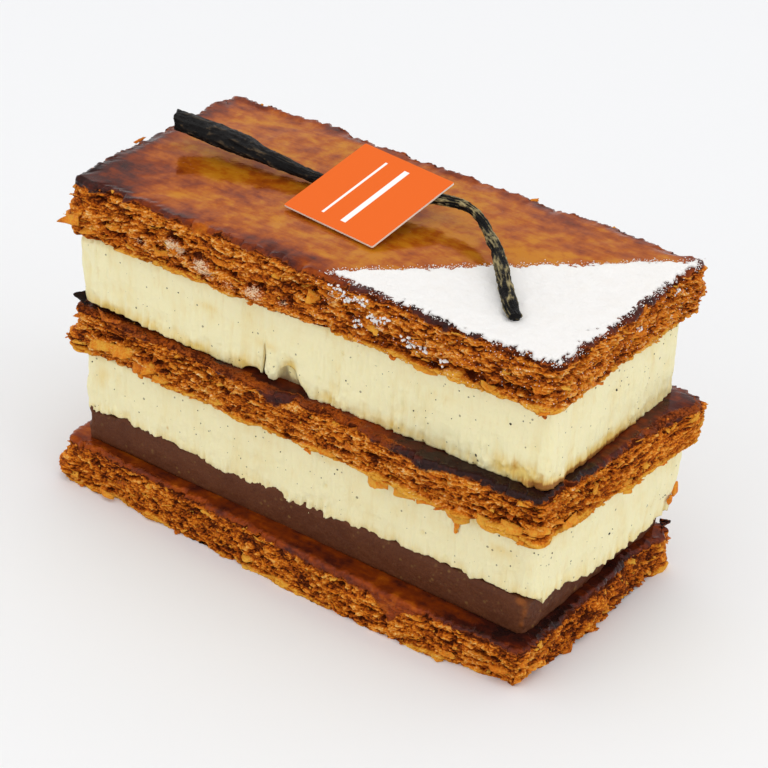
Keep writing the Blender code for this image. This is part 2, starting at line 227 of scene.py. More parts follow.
def swells(places, size, seed):
    """Smooth noise from -1 to 1 with swells about as large as size, a number or one per axis."""
    scaled = places / np.asarray(size)
    base = np.floor(scaled)
    share = scaled - base
    share = share * share * (3.0 - 2.0 * share)
    total = np.zeros(places.shape[:-1])
    for step in itertools.product((0, 1), repeat=3):
        weight = np.ones(places.shape[:-1])
        for axis in range(3):
            weight = weight * (share[..., axis] if step[axis] else 1.0 - share[..., axis])
        total += weight * scatter(base + np.array(step), seed)
    return 2.0 * total - 1.0


def rough(places, size, seed, octaves=3):
    """Swells with finer and weaker swells on them."""
    total = np.zeros(places.shape[:-1])
    weight = 1.0
    for octave in range(octaves):
        total += weight * swells(places, np.asarray(size) / 2.0 ** octave, seed + 17 * octave)
        weight *= 0.5
    return total / 1.6


def uneven(places, height, size, seed):
    """How far a rough surface stands out, for relief of a height and a size in millimetres."""
    return height * MM * rough(places, size * MM, seed)


def pebbles(places, size, seed):
    """Cells round one random point each: how far the nearest and the next point are, the number
    of the nearest, and how far up its cell the place is."""
    scaled = places / np.asarray(size)
    base = np.floor(scaled)
    near = np.full(places.shape[:-1], 9.0)
    beyond = near.copy()
    number = np.zeros(places.shape[:-1])
    rise = number.copy()
    for step in itertools.product((-1, 0, 1), repeat=3):
        cell = base + np.array(step)
        ahead = [cell[..., axis] + scatter(cell, seed + axis) - scaled[..., axis]
                 for axis in range(3)]
        away = ahead[0] ** 2 + ahead[1] ** 2 + ahead[2] ** 2
        closer = away < near
        beyond = np.where(closer, near, np.minimum(beyond, away))
        number = np.where(closer, scatter(cell, seed + 3), number)
        rise = np.where(closer, -ahead[2], rise)
        near = np.minimum(near, away)
    return np.sqrt(near), np.sqrt(beyond), number, rise


def ease(value, low, high):
    """A smooth step from 0 at low to 1 at high."""
    share = np.clip((value - low) / (high - low), 0.0, 1.0)
    return share * share * (3.0 - 2.0 * share)


def graded(along, stops):
    """Values on straight lines between the given stops of place and value."""
    return np.interp(along, [place for place, value in stops], [value for place, value in stops])


def unit(vectors):
    """Vectors turned to a length of 1."""
    return vectors / np.linalg.norm(vectors, axis=-1, keepdims=True)


def dent(places, entries):
    """The total of smooth bumps, each a place, how far it stands out and how far that reaches
    along the side and up and down, all in millimetres."""
    total = np.zeros(places.shape[:-1])
    for x, y, z, size, along, upright in entries:
        aside = (places[..., 0] / MM - x) ** 2 + (places[..., 1] / MM - y) ** 2
        total += size * np.exp(-aside / along ** 2 - ((places[..., 2] / MM - z) / upright) ** 2)
    return total * MM


# ---------------------------------------------------------------- meshes and their marks

def mesh_of(name, bm):
    """A new mesh of what a bmesh holds."""
    mesh = bpy.data.meshes.new(name)
    bm.to_mesh(mesh)
    bm.free()
    return mesh


def close_mesh(mesh, bm):
    """Put a closed body from a bmesh into a mesh, with its faces outward and smoothly shaded."""
    bmesh.ops.recalc_face_normals(bm, faces=bm.faces)
    bm.to_mesh(mesh)
    bm.free()
    mesh.shade_smooth()
    return mesh


def points_of(mesh):
    """The places of a mesh's points."""
    flat = np.empty(3 * len(mesh.vertices))
    mesh.vertices.foreach_get("co", flat)
    return flat.reshape(-1, 3)


def set_mark(mesh, name, values):
    """Let each point of a mesh carry a value."""
    mark = mesh.attributes.new(name, "FLOAT", "POINT")
    mark.data.foreach_set("value", np.ravel(values).astype(np.float32))


# ---------------------------------------------------------------- shells rolled from a grid

def plan_columns(layer, long_columns, short_columns, corner_columns):
    """Columns round a layer's plan: each one's place, outward direction and point on the spine."""
    places = []
    shares = []
    for side, corner in enumerate(layer.corners):
        following = layer.corners[(side + 1) % 4]
        beyond = layer.corners[(side + 2) % 4]
        start = corner + (following - corner).normalized() * layer.radius
        end = following - (following - corner).normalized() * layer.radius
        leave = following + (beyond - following).normalized() * layer.radius
        columns = short_columns if side % 2 else long_columns
        for column in range(columns):
            share = column / columns
            places.append(start.lerp(end, share))
            shares.append((share, 1.0, 1.0 - share, 0.0)[side])
        for column in range(corner_columns):
            share = column / corner_columns
            places.append(end.lerp(following, share).lerp(following.lerp(leave, share), share))
            shares.append((1.0, 1.0, 0.0, 0.0)[side])
    places = np.array([(place.x, place.y, 0.0) for place in places])
    along = unit(np.roll(places, -1, axis=0) - np.roll(places, 1, axis=0))
    outward = np.column_stack((along[:, 1], -along[:, 0], np.zeros(len(places))))
    left = (layer.corners[0] + layer.corners[3]) / 2.0
    right = (layer.corners[1] + layer.corners[2]) / 2.0
    length = (right - left).length
    inset = (np.array(shares) * length - HALF_WIDTH) / (length - 2.0 * HALF_WIDTH)
    inset = np.clip(inset, 0.0, 1.0)
    reach = HALF_WIDTH / length
    inner = reach + inset * (1.0 - 2.0 * reach)
    spine = np.array([(*left.lerp(right, share), 0.0) for share in inner])
    return places, outward, spine


def roll_shell(name, rings, marks):
    """Roll a grid into a closed body whose rows are the given rings, with marks at its points."""
    rows, columns = rings.shape[:2]
    bm = bmesh.new()
    bmesh.ops.create_grid(bm, x_segments=columns, y_segments=rows - 1, size=0.5)
    mesh = mesh_of(name, bm)
    flat = points_of(mesh)
    column = np.rint((flat[:, 0] + 0.5) * columns).astype(int) % columns
    row = np.rint((flat[:, 1] + 0.5) * (rows - 1)).astype(int)
    mesh.vertices.foreach_set("co", rings[row, column].ravel())
    for mark, values in marks.items():
        set_mark(mesh, mark, values[row, column])
    bm = bmesh.new()
    bm.from_mesh(mesh)
    open_verts = [vert for vert in bm.verts if vert.is_boundary]
    bmesh.ops.remove_doubles(bm, verts=open_verts, dist=0.0005 * MM)
    ends = [edge for edge in bm.edges if edge.is_boundary]
    bmesh.ops.holes_fill(bm, edges=ends, sides=0)
    return close_mesh(mesh, bm)


def place_piece(name, mesh, finish, node=None, slot=None):
    """Put a drawn mesh in the frame as a piece of the slice, standing for a node if one is named."""
    mesh.transform(Matrix.Translation(DRAWING_ORIGIN))
    mesh.materials.append(finish)
    piece = bpy.data.objects.new(name, mesh)
    bpy.context.scene.collection.objects.link(piece)
    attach(piece, "root")
    if node:
        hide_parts(node)
    return piece


# ---------------------------------------------------------------- puff pastry slabs

# How each slab puffed and browned, with all lengths in millimetres.  A leaf is the thickness of one
# leaf of dough.  A flake is a length and a thickness, and the crumb the same at its finer scale.  A
# void and a pore are a length, a thickness and the share of places that have one.  Cracks, lumps
# and pale places are entries for dent, and a negative pale place is a darker one.  A skirt is a
# place along the foot, how much higher the skin is there, how far it stands out and how far along.
# A drip is a place on the rim, how far the glaze runs down there and how far along.  A bare stretch
# is a place on the rim, how far in the glaze is missing there and a reach.  A scorch is a place, a
# reach in X and in Y and how much it adds to the heat.

# A slab that is covered has a ledge round it and nothing more of its top.
COVERED_SLAB = {"columns": (400, 180, 8), "side_rows": 66, "ledge_rows": 10, "ledge_reach": 0.34}
BOTTOM_BAKE = SimpleNamespace(
    seed=11, leaf=0.80, flake=(1.7, 0.80), crumb=(0.75, 0.55), void=(2.6, 1.1, 0.12),
    pore=(1.05, 0.62, 0.30), chip=0.75, foot=0.5, skin=0.3, drip=0.25, rim=0.35, heat=0.60,
    rim_heat=-0.05, bare=((-42, -26, 0.5, 16),), **COVERED_SLAB,
    cracks=(
        (-36.7, -27.5, 7.6, 1.4, 3, 0.35), (-32.4, -27.5, 4, 1.3, 1.6, 0.5),
        (-29.9, -27.5, 2.3, 1.2, 1.6, 0.4), (-22.4, -27.5, 7, 1.2, 1.8, 0.4),
        (-9.6, -27.5, 1.9, 2.2, 2, 0.8), (-4, -27.5, 0.9, 1.5, 4, 0.35),
        (15.4, -27.5, 6.2, 1.6, 1.8, 0.4), (21, -27.5, 4.2, 1.4, 2.6, 0.4),
        (38.9, -27.5, 6.6, 1.4, 3, 0.35), (45.5, -27, 5, 1.8, 4, 0.4), (54, 3, 7.4, 2, 1.6, 0.6),
        (54, -6, 5.5, 1.6, 1.2, 0.6), (54, 10.5, 8.8, 1.8, 1.4, 0.7), (54, -11, 4.6, 1.3, 1.2, 0.5),
        (54, 15.5, 10.6, 2, 1.6, 0.7), (54, 4, 3, 1.2, 1.4, 0.6)),
    lumps=(
        (54.2, 18, 12, 1.3, 2, 2), (54.2, 20.6, 6.6, 1.8, 2, 2.2), (54.2, 23.6, 2.2, 1.2, 1.6, 1.6),
        (54.2, 13.4, 6, 1.4, 1.7, 1.6), (54.2, 7.2, 4.2, 1.9, 1.8, 1.9), (54.2, -0.2, 5.4, 1.2, 1.8, 1.5),
        (54.2, -5.8, 3.4, 1, 1.5, 1.2), (54.2, -19.6, 2.4, 1.6, 1.4, 1.3),
        (53.6, -24.6, 2, 1.3, 1.8, 1.4), (-9.5, -27.4, 2.2, 0.6, 2, 0.8)),
    pale=(
        (-8, -27.2, 1.6, 0.7, 1.6, 0.9), (-12.6, -27.2, 3.4, 0.4, 1.2, 0.8), (54.5, -7, 4, -1.1, 12, 9),
        (54.5, 13, 6, -1.1, 10, 9), (-20, -27, 4, -0.35, 40, 20)),
    skirts=(
        (-46, -26, 0.6, 0.7, 3), (-33, -27, 0.5, 0.6, 3), (-14, -27.4, 0.7, 0.6, 2.4),
        (-8, -27.4, 0.6, 0.8, 1.8), (2, -27.4, 0.4, 0.5, 3), (35, -27.4, 0.8, 0.7, 3.2),
        (45, -27, 0.6, 0.6, 2), (54, 24, 1.2, 0.8, 3)),
    drips=(
        (20, -27, 0.9, 8), (26, -27, 4.2, 2.2), (-54, -25, 0.7, 4), (4, -27, 0.7, 8), (30, -27, 0.8, 3),
        (54, 8, 0.6, 5)),
    scorches=(
        (47, -27, 8, 9, 0.34), (54, -12, 5, 14, 0.26), (54, 12, 4, 10, 0.2), (-52, -25, 5, 8, 0.02),
        (22, -27, 9, 6, -0.12), (0, 26, 60, 4, 0.08)))
MIDDLE_BAKE = SimpleNamespace(
    seed=29, leaf=0.62, flake=(2.3, 0.62), crumb=(0.85, 0.42), void=(3, 0.8, 0.09),
    pore=(1.3, 0.50, 0.16), chip=0.95, foot=0.35, skin=0.7, drip=0.2, rim=0.4, heat=0.74,
    rim_heat=-0.04, **COVERED_SLAB,
    bare=(
        (-46, -24, 1.9, 10), (-30, -24, 1.8, 10), (-12, -24, 1.3, 7), (57, 14, 0.9, 12),
        (7, -24.6, 0.9, 8), (21, -25, 0.6, 7)),
    cracks=(
        (-43, -23.8, 35.4, 2, 3, 0.5), (-38.5, -23.8, 35, 2.2, 3.4, 0.5),
        (-33.5, -23.8, 34.2, 2.2, 3.2, 0.5), (-30.6, -23.8, 33.2, 1.4, 2, 0.4),
        (-21.7, -24, 36.3, 1.9, 1.3, 0.4), (-18.8, -24, 36.3, 1.9, 1.2, 0.45),
        (-16.1, -24, 35.2, 2.6, 1.4, 0.7), (-25, -24, 36.6, 1.2, 2, 0.25),
        (-13.2, -24, 37, 1.4, 0.9, 0.35), (18, -24.5, 35, 1.7, 2.6, 0.35),
        (22.4, -24.5, 35.3, 1.7, 2.2, 0.4), (17, -24.5, 32.3, 1.2, 2, 0.3),
        (34.5, -24.5, 36.6, 1.6, 0.6, 1.2), (11, -24.5, 33, 1.2, 3, 0.3), (39, -24.4, 32.6, 1.8, 3, 0.4),
        (45, -24.6, 33.8, 2, 4, 0.45), (51.5, -25, 34.8, 1.8, 3.5, 0.45), (55.4, -21, 34.6, 1.5, 3, 0.4),
        (56.2, -1, 38.3, 0.9, 0.8, 0.3), (56.4, 4.6, 38, 1.2, 1.6, 0.35),
        (57.2, 13.5, 36.6, 1.2, 1.8, 0.4), (55.4, -8.5, 36.8, 1.3, 1.5, 0.4)),
    lumps=(
        (57, 12, 35, 0.5, 8, 2.6), (57.4, 21, 35, 0.5, 4, 2.6), (55.6, -16, 38.6, 0.5, 1.2, 0.8),
        (32, -25.2, 37.6, 0.6, 2, 1.2)),
    pale=(
        (-22.6, -24.2, 35, 0.5, 0.9, 0.6), (55.6, -16.4, 39.2, 0.8, 0.6, 0.5), (57, 4, 35, -0.3, 20, 9)),
    skirts=(
        (-52, -23.6, 0.9, 0.9, 2.6), (-30, -24, 0.3, 0.5, 3), (-12, -24.2, 0.4, 0.6, 3),
        (4, -24.6, 0.3, 0.5, 3), (19.9, -25, 0.9, 1, 2.2), (26.5, -25, 1, 1.2, 2.6),
        (33, -25.2, 0.6, 0.8, 1.8), (37.4, -25.2, 1.2, 1.3, 2.6), (45.7, -25.4, 1.1, 1.3, 3.4),
        (53.4, -25, 1, 1.3, 3), (56, -14, 0.8, 0.8, 3.4), (56.4, 1.5, 0.5, 0.7, 2)),
    drips=(
        (-4.5, -24, 2.3, 3.4), (30, -26, 1, 9), (48, -26, 0.8, 5), (57, 16, 0.5, 5), (-34, -24, 0.6, 5)),
    scorches=(
        (44, -25, 15, 8, 0.48), (56, -18, 5, 9, 0.4), (-55, -23, 3, 5, 0.4), (-4, -24, 8, 5, 0.06),
        (-38, -24, 6, 5, 0.1), (28, -25, 8, 5, 0.1), (56, 10, 6, 16, -0.06), (0, 26, 60, 4, 0.08)))
TOP_BAKE = SimpleNamespace(
    seed=47, leaf=0.62, flake=(2, 0.60), crumb=(0.80, 0.42), void=(2.6, 0.8, 0.11),
    pore=(1.2, 0.50, 0.18), chip=1, foot=0.5, skin=0.6, drip=-0.05, rim=0.55, heat=0.20,
    rim_heat=0.26, bare=(), ledge_rows=26, ledge_reach=1, columns=(360, 160, 6), side_rows=60,
    cracks=(
        (-43, -24, 58.4, 2.2, 2, 0.7), (-35, -24, 61.2, 2, 1.5, 0.6), (-28.5, -24, 62.4, 1.9, 2, 0.5),
        (-23.8, -24, 61.4, 1.7, 1.4, 0.5), (-15.6, -24.3, 60, 2, 2.2, 0.45),
        (-8.7, -24.3, 59.8, 2.2, 1.6, 0.6), (3.4, -24.4, 63, 2.6, 2.2, 0.8),
        (-1, -24.4, 62.6, 1.6, 2, 0.5), (-2.3, -24.4, 59.4, 1.6, 1.3, 0.6),
        (18, -24.5, 58.4, 1.4, 3.2, 0.4), (28, -24.5, 57.9, 1.8, 4, 0.4),
        (37, -24.6, 59.2, 2.4, 4.4, 0.6), (46, -24.8, 59.6, 2.2, 3.6, 0.5), (51, -25, 60.4, 1.8, 3, 0.4)),
    lumps=(
        (35.3, -24.8, 61.2, 0.7, 2.6, 0.9), (-50, -24, 60.2, 0.4, 3, 1.6),
        (-28.6, -24.2, 60.6, 0.9, 1.8, 1), (-21.8, -24.2, 59, 1, 2, 1.1), (-9, -24.4, 58.2, 1, 2, 1.1),
        (7.6, -24.6, 63.2, 0.6, 1.2, 0.8)),
    pale=(
        (-29, -24.2, 60.9, 0.95, 1.6, 1), (-27, -24.2, 60.2, 0.6, 1.4, 0.8),
        (-22, -24.2, 59.2, 1.1, 1.7, 1.1), (-20.2, -24.2, 58.2, 0.7, 1.4, 0.8),
        (-9.2, -24.4, 58.2, 1.1, 1.8, 1.1), (-3.1, -24.4, 58.2, 0.6, 1.1, 0.8),
        (7.6, -24.6, 63.4, 0.8, 1.1, 0.8), (-37, -24, 58.8, 0.5, 1.6, 0.7),
        (-15, -24.4, 57.6, 0.5, 1.6, 0.7), (18, -24.6, 61, 0.4, 1.4, 0.6)),
    skirts=(
        (9.8, -24.6, 0.4, 0.6, 2.4), (22.7, -24.6, 0.9, 0.9, 3), (35.2, -24.8, 1, 0.9, 3.4),
        (43.3, -25, 0.6, 0.8, 2.4), (51.4, -25, 0.6, 0.8, 3), (-14, -24.4, 0.3, 0.4, 3),
        (-27, -24.2, 0.3, 0.5, 3), (-40, -24.2, 0.3, 0.4, 3)),
    drips=(
        (-52, -24, 1.6, 6), (-24, -24, 0.9, 4), (-13, -24, 1.1, 3.4), (-1, -24, 1.2, 3),
        (30, -25, 0.9, 5), (54, 0, 0.5, 12)),
    scorches=(
        (-48, -19, 9, 8, 0.5), (-54, -3, 4.5, 22, 0.3), (-50, 18, 6, 9, 0.18), (-38, -24, 12, 3, 0.24),
        (-8, -22, 12, 3.5, 0.2), (20, -24, 18, 2, 0.3), (40, -24, 18, 2.6, 0.36), (54, -4, 2.6, 32, 0.4),
        (-28, -11, 11, 3, 0.12), (0, 26, 60, 2, 0.14)))


# The side ends this far below the top.  There the rim rolls over it, in rows that are a drop below
# the top and how far they stand out, which is inwards where negative.
RIM_HEIGHT = 1.05 * MM
RIM_ROWS = ((0.78 * MM, 0.0), (0.42 * MM, -0.10 * MM), (0.16 * MM, -0.36 * MM),
            (0.02 * MM, -0.85 * MM))
# How far in the underside's ring lies, as a share of the way to the spine.
UNDERSIDE_REACH = 0.22
# How wide the seams between flakes are, in shares of a flake.
SEAM = 0.16


def leaf_cells(places, length, thickness, seed):
    """Pebbles flattened like leaves, with a length and a thickness in millimetres."""
    return pebbles(places, np.array((length, length, thickness)) * MM, seed)


def openings(places, kind, reach, fade, seed):
    """How open each place is, for a length, a thickness and the share of places with a hole."""
    length, thickness, share = kind
    near, beyond, number, drop = leaf_cells(places, length, thickness, seed)
    return (number > 1.0 - share) * ease(reach - near, 0.0, fade)


def near_rim(plan, entries, column):
    """The total of entries given as X, Y, some values and a last reach, all in millimetres."""
    total = np.zeros(plan.shape[:-1])
    for entry in entries:
        away = (plan[..., 0] / MM - entry[0]) ** 2 + (plan[..., 1] / MM - entry[1]) ** 2
        total += entry[column] * MM * np.exp(-away / entry[-1] ** 2)
    return total


def foot_skin(side, height, bake, rare):
    """The smooth skin along a slab's foot: where it is, how proud it stands and the gap over it."""
    skin = bake.skin * MM * (0.8 + 0.8 * swells(side * (1.0, 1.0, 0.0), 5.0 * MM, bake.seed + 60))
    over_skin = height - (skin + near_rim(side, bake.skirts, 2))
    proud = 0.15 * MM + near_rim(side, bake.skirts, 3)
    gap = np.exp(-((over_skin - 0.25 * MM) / (0.24 * MM)) ** 2)
    gap = (0.35 * MM + 0.6 * proud) * (0.3 + rare) * gap
    return ease(-over_skin, -0.15 * MM, 0.25 * MM), proud, gap


def broken_side(side, low, bake, sizes):
    """How far each place of a slab's side stands out, with a mark for its leaves' tone, which holds
    painted shade in the gaps between leaves, and one for its skin.
    """
    seed = bake.seed
    dough = side.copy()
    dough[..., 2] -= low
    dough[..., 2] += 0.85 * MM * swells(side * (1.0, 1.0, 0.5), 8.0 * MM, seed)
    dough[..., 2] += 0.30 * MM * swells(side, 2.4 * MM, seed + 1)
    # The leaves of dough, each broken off along its own ragged line.
    height = dough[..., 2] / (bake.leaf * MM)
    stacked = dough.copy()
    stacked[..., 2] = np.floor(height) * 9.0 * MM
    broken = rough(stacked, 1.9 * MM, seed + 5)
    edge = ease(np.abs(height - np.floor(height) - 0.5), 0.30, 0.5)
    # Flakes, crumb, pores and voids.
    near, beyond, tone, rise = leaf_cells(dough, *bake.flake, seed + 10)
    seam = ease(SEAM - (beyond - near), 0.0, SEAM)
    near, beyond, fleck, lean = leaf_cells(dough, *bake.crumb, seed + 20)
    nick = ease(SEAM - (beyond - near), 0.0, SEAM)
    hole = openings(dough, bake.void, 0.60, 0.25, seed + 30)
    pore = openings(dough, bake.pore, 0.55, 0.30, seed + 35)
    rare = ease(swells(dough, 6.0 * MM, seed + 40), 0.0, 0.6)
    flakes = (tone - 0.5) * 1.7 + (tone - 0.35) * 1.2 * rise + 0.9 * broken
    offset = sizes.leaf_chip * bake.chip * flakes
    offset += sizes.crumb_relief * ((fleck - 0.5) * 2.0 + 0.8 * lean)
    offset -= sizes.leaf_gap * (seam * (0.25 + 0.8 * rare) + edge * (0.30 + 0.7 * rare))
    offset -= 0.5 * sizes.crumb_relief * nick + sizes.leaf_gap * 1.3 * pore
    offset -= sizes.crevice * hole * (0.35 + 0.65 * rare)
    offset += uneven(side, 0.16, 0.5, seed + 50)
    lump = dent(side, bake.lumps)
    plain = np.clip(lump / (1.1 * MM), 0.0, 0.7)
    offset = offset * (1.0 - plain) + lump - dent(side, bake.cracks)
    on_skin, proud, gap = foot_skin(side, dough[..., 2], bake, rare)
    offset = offset * (1.0 - 0.60 * on_skin) + proud * on_skin - gap
    # The leaves' own random tone, made darker along the gaps between leaves and crumb cells: painted
    # shade.
    tone_and_gap_shade = 0.40 * tone + 0.35 * fleck + 0.25 * (0.5 + 0.5 * broken) - 0.12 * (edge + nick)
    return offset, tone_and_gap_shade, np.maximum(on_skin, 0.75 * plain)


def heat_of(places, from_rim, bake):
    """How dark the glaze baked at each place."""
    total = np.full(places.shape[:-1], bake.heat)
    total += bake.rim_heat * np.exp(-(from_rim / (2.6 * MM)) ** 2)
    for x, y, along, across, strength in bake.scorches:
        total += strength * np.exp(-((places[..., 0] / MM - x) / along) ** 2
                                   - ((places[..., 1] / MM - y) / across) ** 2)
    return total + 0.12 * rough(places, 3.0 * MM, bake.seed + 95)


def glaze_swells(places):
    """The low swells of the glaze on the top of a slab."""
    flat = places * (1.0, 1.0, 0.0)
    return 0.35 * MM * swells(flat, 21.0 * MM, 5) + uneven(flat, 0.07, 3.5, 6)


def glaze_run(plan, bake):
    """How far the glaze runs down over the side at each column."""
    run = bake.drip * MM + (0.25 + 0.6 * bake.rim) * MM * rough(plan, 3.4 * MM, bake.seed + 70)
    run = run + bake.rim * MM * rough(plan, 1.2 * MM, bake.seed + 71)
    return run + near_rim(plan, bake.drips, 2)


def wander_of_rim(plan, bake):
    """How far the rim wanders out, and in where it is notched."""
    wander = uneven(plan, 0.55, 5.0, bake.seed + 80)
    wander = wander + bake.rim * 0.45 * MM * rough(plan, 1.5 * MM, bake.seed + 81)
    return wander - bake.rim * 0.9 * MM * ease(rough(plan, 3.1 * MM, bake.seed + 87), 0.25, 0.7)


def rim_rings(plan, outward, edge, high, dip, run, unglazed, bake):
    """The rings that roll over the top of the side, and how bare of glaze they are."""
    rings = []
    bare = []
    ripple = uneven(plan, 0.22, 1.1, bake.seed + 84)
    for drop, stand_out in RIM_ROWS:
        ring = plan + outward * (edge + stand_out)[:, None]
        ring[:, 2] = high - drop - dip - ripple
        ragged = uneven(ring, 0.55, 0.9, bake.seed + 85)
        open_crumb = 1.0 - ease(run - drop + 0.45 * MM + ragged, -0.3 * MM, 0.4 * MM)
        open_crumb = np.maximum(open_crumb, 0.55 * ease(unglazed, 0.3 * MM, 0.9 * MM))
        rough_rim = 0.30 * MM * open_crumb * rough(ring, 0.7 * MM, bake.seed + 86)
        rings.append(ring + outward * rough_rim[:, None])
        bare.append(open_crumb)
    return rings, bare


def ledge_rings(rim, smooth, spine, high, dip, unglazed, bake):
    """The rings of the glazed top from the rim inwards, and how bare of glaze they are."""
    rings = []
    bare = []
    for row in range(1, bake.ledge_rows + 1):
        reached = bake.ledge_reach * (row / bake.ledge_rows) ** 1.7
        ring = smooth + (spine - smooth) * reached
        ring = ring + (rim - smooth) * (1.0 - ease(reached, 0.0, 0.10))
        ring[:, 2] = (high + glaze_swells(ring) * ease(reached, 0.0, 0.08)
                      - dip * (1.0 - ease(reached, 0.0, 0.12)))
        width = unglazed * (1.0 + 0.9 * rough(ring, 1.8 * MM, bake.seed + 88))
        inward = np.linalg.norm((ring - rim)[:, :2], axis=1)
        crumbly = ease(width - inward, 0.0, 0.3 * MM)
        ring[:, 2] += 0.28 * MM * crumbly * rough(ring, 0.8 * MM, bake.seed + 89)
        rings.append(ring)
        bare.append(0.48 * crumbly)
    return rings, bare


def slab_rings(layer, bake, sizes):
    """The rings of a slab from under it, up its side and over its rim, with their marks."""
    plan, outward, spine = plan_columns(layer, *bake.columns)
    low = joint_height(layer.low, plan[:, 0])
    high = joint_height(layer.high, plan[:, 0])
    foot = low + bake.foot * MM * rough(plan, 2.6 * MM, bake.seed + 2)
    side = plan[None] + np.zeros((bake.side_rows, 1, 1))
    share = np.linspace(0.0, 1.0, bake.side_rows)[:, None]
    side[..., 2] = foot + (high - RIM_HEIGHT - foot) * share
    offset, leaf, skin = broken_side(side, low, bake, sizes)
    # The glaze runs down over the top of the side and partly fills it.
    run = glaze_run(plan, bake)
    below = high - side[..., 2] + uneven(side, 0.7, 1.1, bake.seed + 72)
    glazed = ease(run - below + 0.6 * MM, -0.7 * MM, 0.7 * MM)
    offset = offset * (1.0 - 0.45 * glazed)
    form = dent(side, layer.bumps)
    reach = offset + form + wander_of_rim(plan, bake) * ease(share, 0.5, 1.0)
    surface = side + outward * reach[..., None]
    surface[..., 2] += uneven(surface, 0.14, 0.7, bake.seed + 82) * (1.0 - glazed)
    # The underside, the rim and the glazed top.
    under = plan + (spine - plan) * UNDERSIDE_REACH
    under[:, 2] = low
    lip = surface[0] - outward * 1.3 * MM
    lip[:, 2] = np.minimum(low, surface[0, :, 2])
    dip = bake.rim * 0.8 * MM * np.clip(0.1 + 1.1 * rough(plan, 3.6 * MM, bake.seed + 83), 0.0, 1.0)
    unglazed = near_rim(plan, bake.bare, 2)
    edge = np.maximum(reach[-1], form[-1] - 0.9 * MM)
    rim, bare_rim = rim_rings(plan, outward, edge, high, dip, run, unglazed, bake)
    smooth = plan + outward * (form[-1] - 0.95 * MM)[:, None]
    ledge, bare_ledge = ledge_rings(rim[-1], smooth, spine, high, dip, unglazed, bake)
    rings = np.array([under, lip, *surface, *rim, *ledge])
    bare = np.array(bare_rim + bare_ledge)
    from_rim = np.linalg.norm((rings - rim[-1])[..., :2], axis=2)
    from_rim[:-bake.ledge_rows - 1] = 0.0
    below_side = np.zeros((2, len(plan)))
    above = np.zeros(bare.shape)
    # This mark darkens the crust in the recesses of the side and, at 0.4, on the underside: painted
    # shade.
    hollow = np.clip((0.15 * MM - offset) / (1.4 * MM), 0.0, 1.0)
    marks = {
        "hollow": np.vstack((below_side + 0.4, hollow, above)),
        "glazed": np.vstack((below_side, glazed, 1.0 - bare)),
        "leaf": np.vstack((below_side, leaf, 0.5 - 0.7 * bare)),
        "skin": np.vstack((below_side + 1.0, skin, above)),
        "pale": dent(rings, bake.pale) / MM,
        "browned": heat_of(rings, from_rim, bake),
    }
    rings[..., 2] = np.maximum(rings[..., 2], 0.0)
    return rings, marks


# ---------------------------------------------------------------- creams and praline

# The grid of a knife-cut layer, how far in its end rings lie, as a share of the way to the spine,
# how far in its flat underside ends and how far in its side starts.
CUT_COLUMNS = (370, 170, 8)
END_REACH = 0.2
FLAT_INSET = 2.2 * MM
TUCK = 0.7 * MM


def cut_rings(layer, lift, crest, relief, rows, stains):
    """The rings of a knife-cut layer, whose lower edge lifts and whose upper edge has a crest."""
    plan, outward, spine = plan_columns(layer, *CUT_COLUMNS)
    base = joint_height(layer.low, plan[:, 0])
    low = base + lift(plan)
    high = joint_height(layer.high, plan[:, 0]) + crest(plan)
    rings = []
    dips = []
    foot = plan + (spine - plan) * END_REACH
    foot[:, 2] = base
    tuck = plan - outward * FLAT_INSET
    tuck[:, 2] = base
    under = plan.copy()
    under[:, 2] = low + 0.15 * MM
    under = under + outward * (dent(under, layer.bumps) - TUCK)[:, None]
    rings += [foot, tuck, under]
    for row in range(rows):
        share = row / (rows - 1)
        ring = plan.copy()
        ring[:, 2] = low + (high - low) * share
        dips.append(relief(ring, share))
        rings.append(ring + outward * (dips[-1] + dent(ring, layer.bumps))[:, None])
    over = plan - outward * 0.9 * MM
    over[:, 2] = high - 0.02 * MM
    crown = plan + (spine - plan) * END_REACH
    crown[:, 2] = joint_height(layer.high, plan[:, 0])
    rings = np.array([*rings, over, crown])
    shares = np.concatenate(([0.0, 0.0, 0.0], np.linspace(0.0, 1.0, rows), [1.0, 1.0]))
    level = np.zeros(len(plan))
    # The dip mark is how far the knife marks sink; the cream's finish makes their recesses yellower with
    # it: painted shade.
    marks = {"rise": np.repeat(shares[:, None], len(plan), axis=1),
             "dip": np.vstack((level, level, level, *dips, level, level)) / MM}
    for mark, spots in stains.items():
        marks[mark] = dent(rings, spots) / MM
    return rings, marks


# The torn foot of the upper cream's front: X along the front and how far its edge lifts.
UPPER_TEAR = (
    (-60, 1.5), (-50, 1.3), (-38, 0.9), (-28, 0.2), (-14, 0), (-13, 0.9), (-11.2, 1.6), (-9.6, 1.2),
    (-9, 1), (-8.9, 5), (-8.5, 5.4), (-8.2, 1.4), (-7.4, 0.9), (-6.4, 0.6), (-5.4, 1.2), (-5, 3.4),
    (-3.4, 4.3), (-1.4, 3.6), (-0.2, 2), (0.9, 1), (2.2, 0), (60, 0))
# The lower edge of the lower cream's front: X and how far it lifts.
LOWER_EDGE = (
    (-60, 0.6), (-50, 0.3), (-46, 0.9), (-35, 0.7), (-23, 0), (-10, -1), (-6, -0.6), (-4, 0.2),
    (-1, -0.9), (4, -1.2), (9, 0.2), (12, 0.1), (19, 0.3), (36, 0.9), (52, 1.3), (60, 1.3))

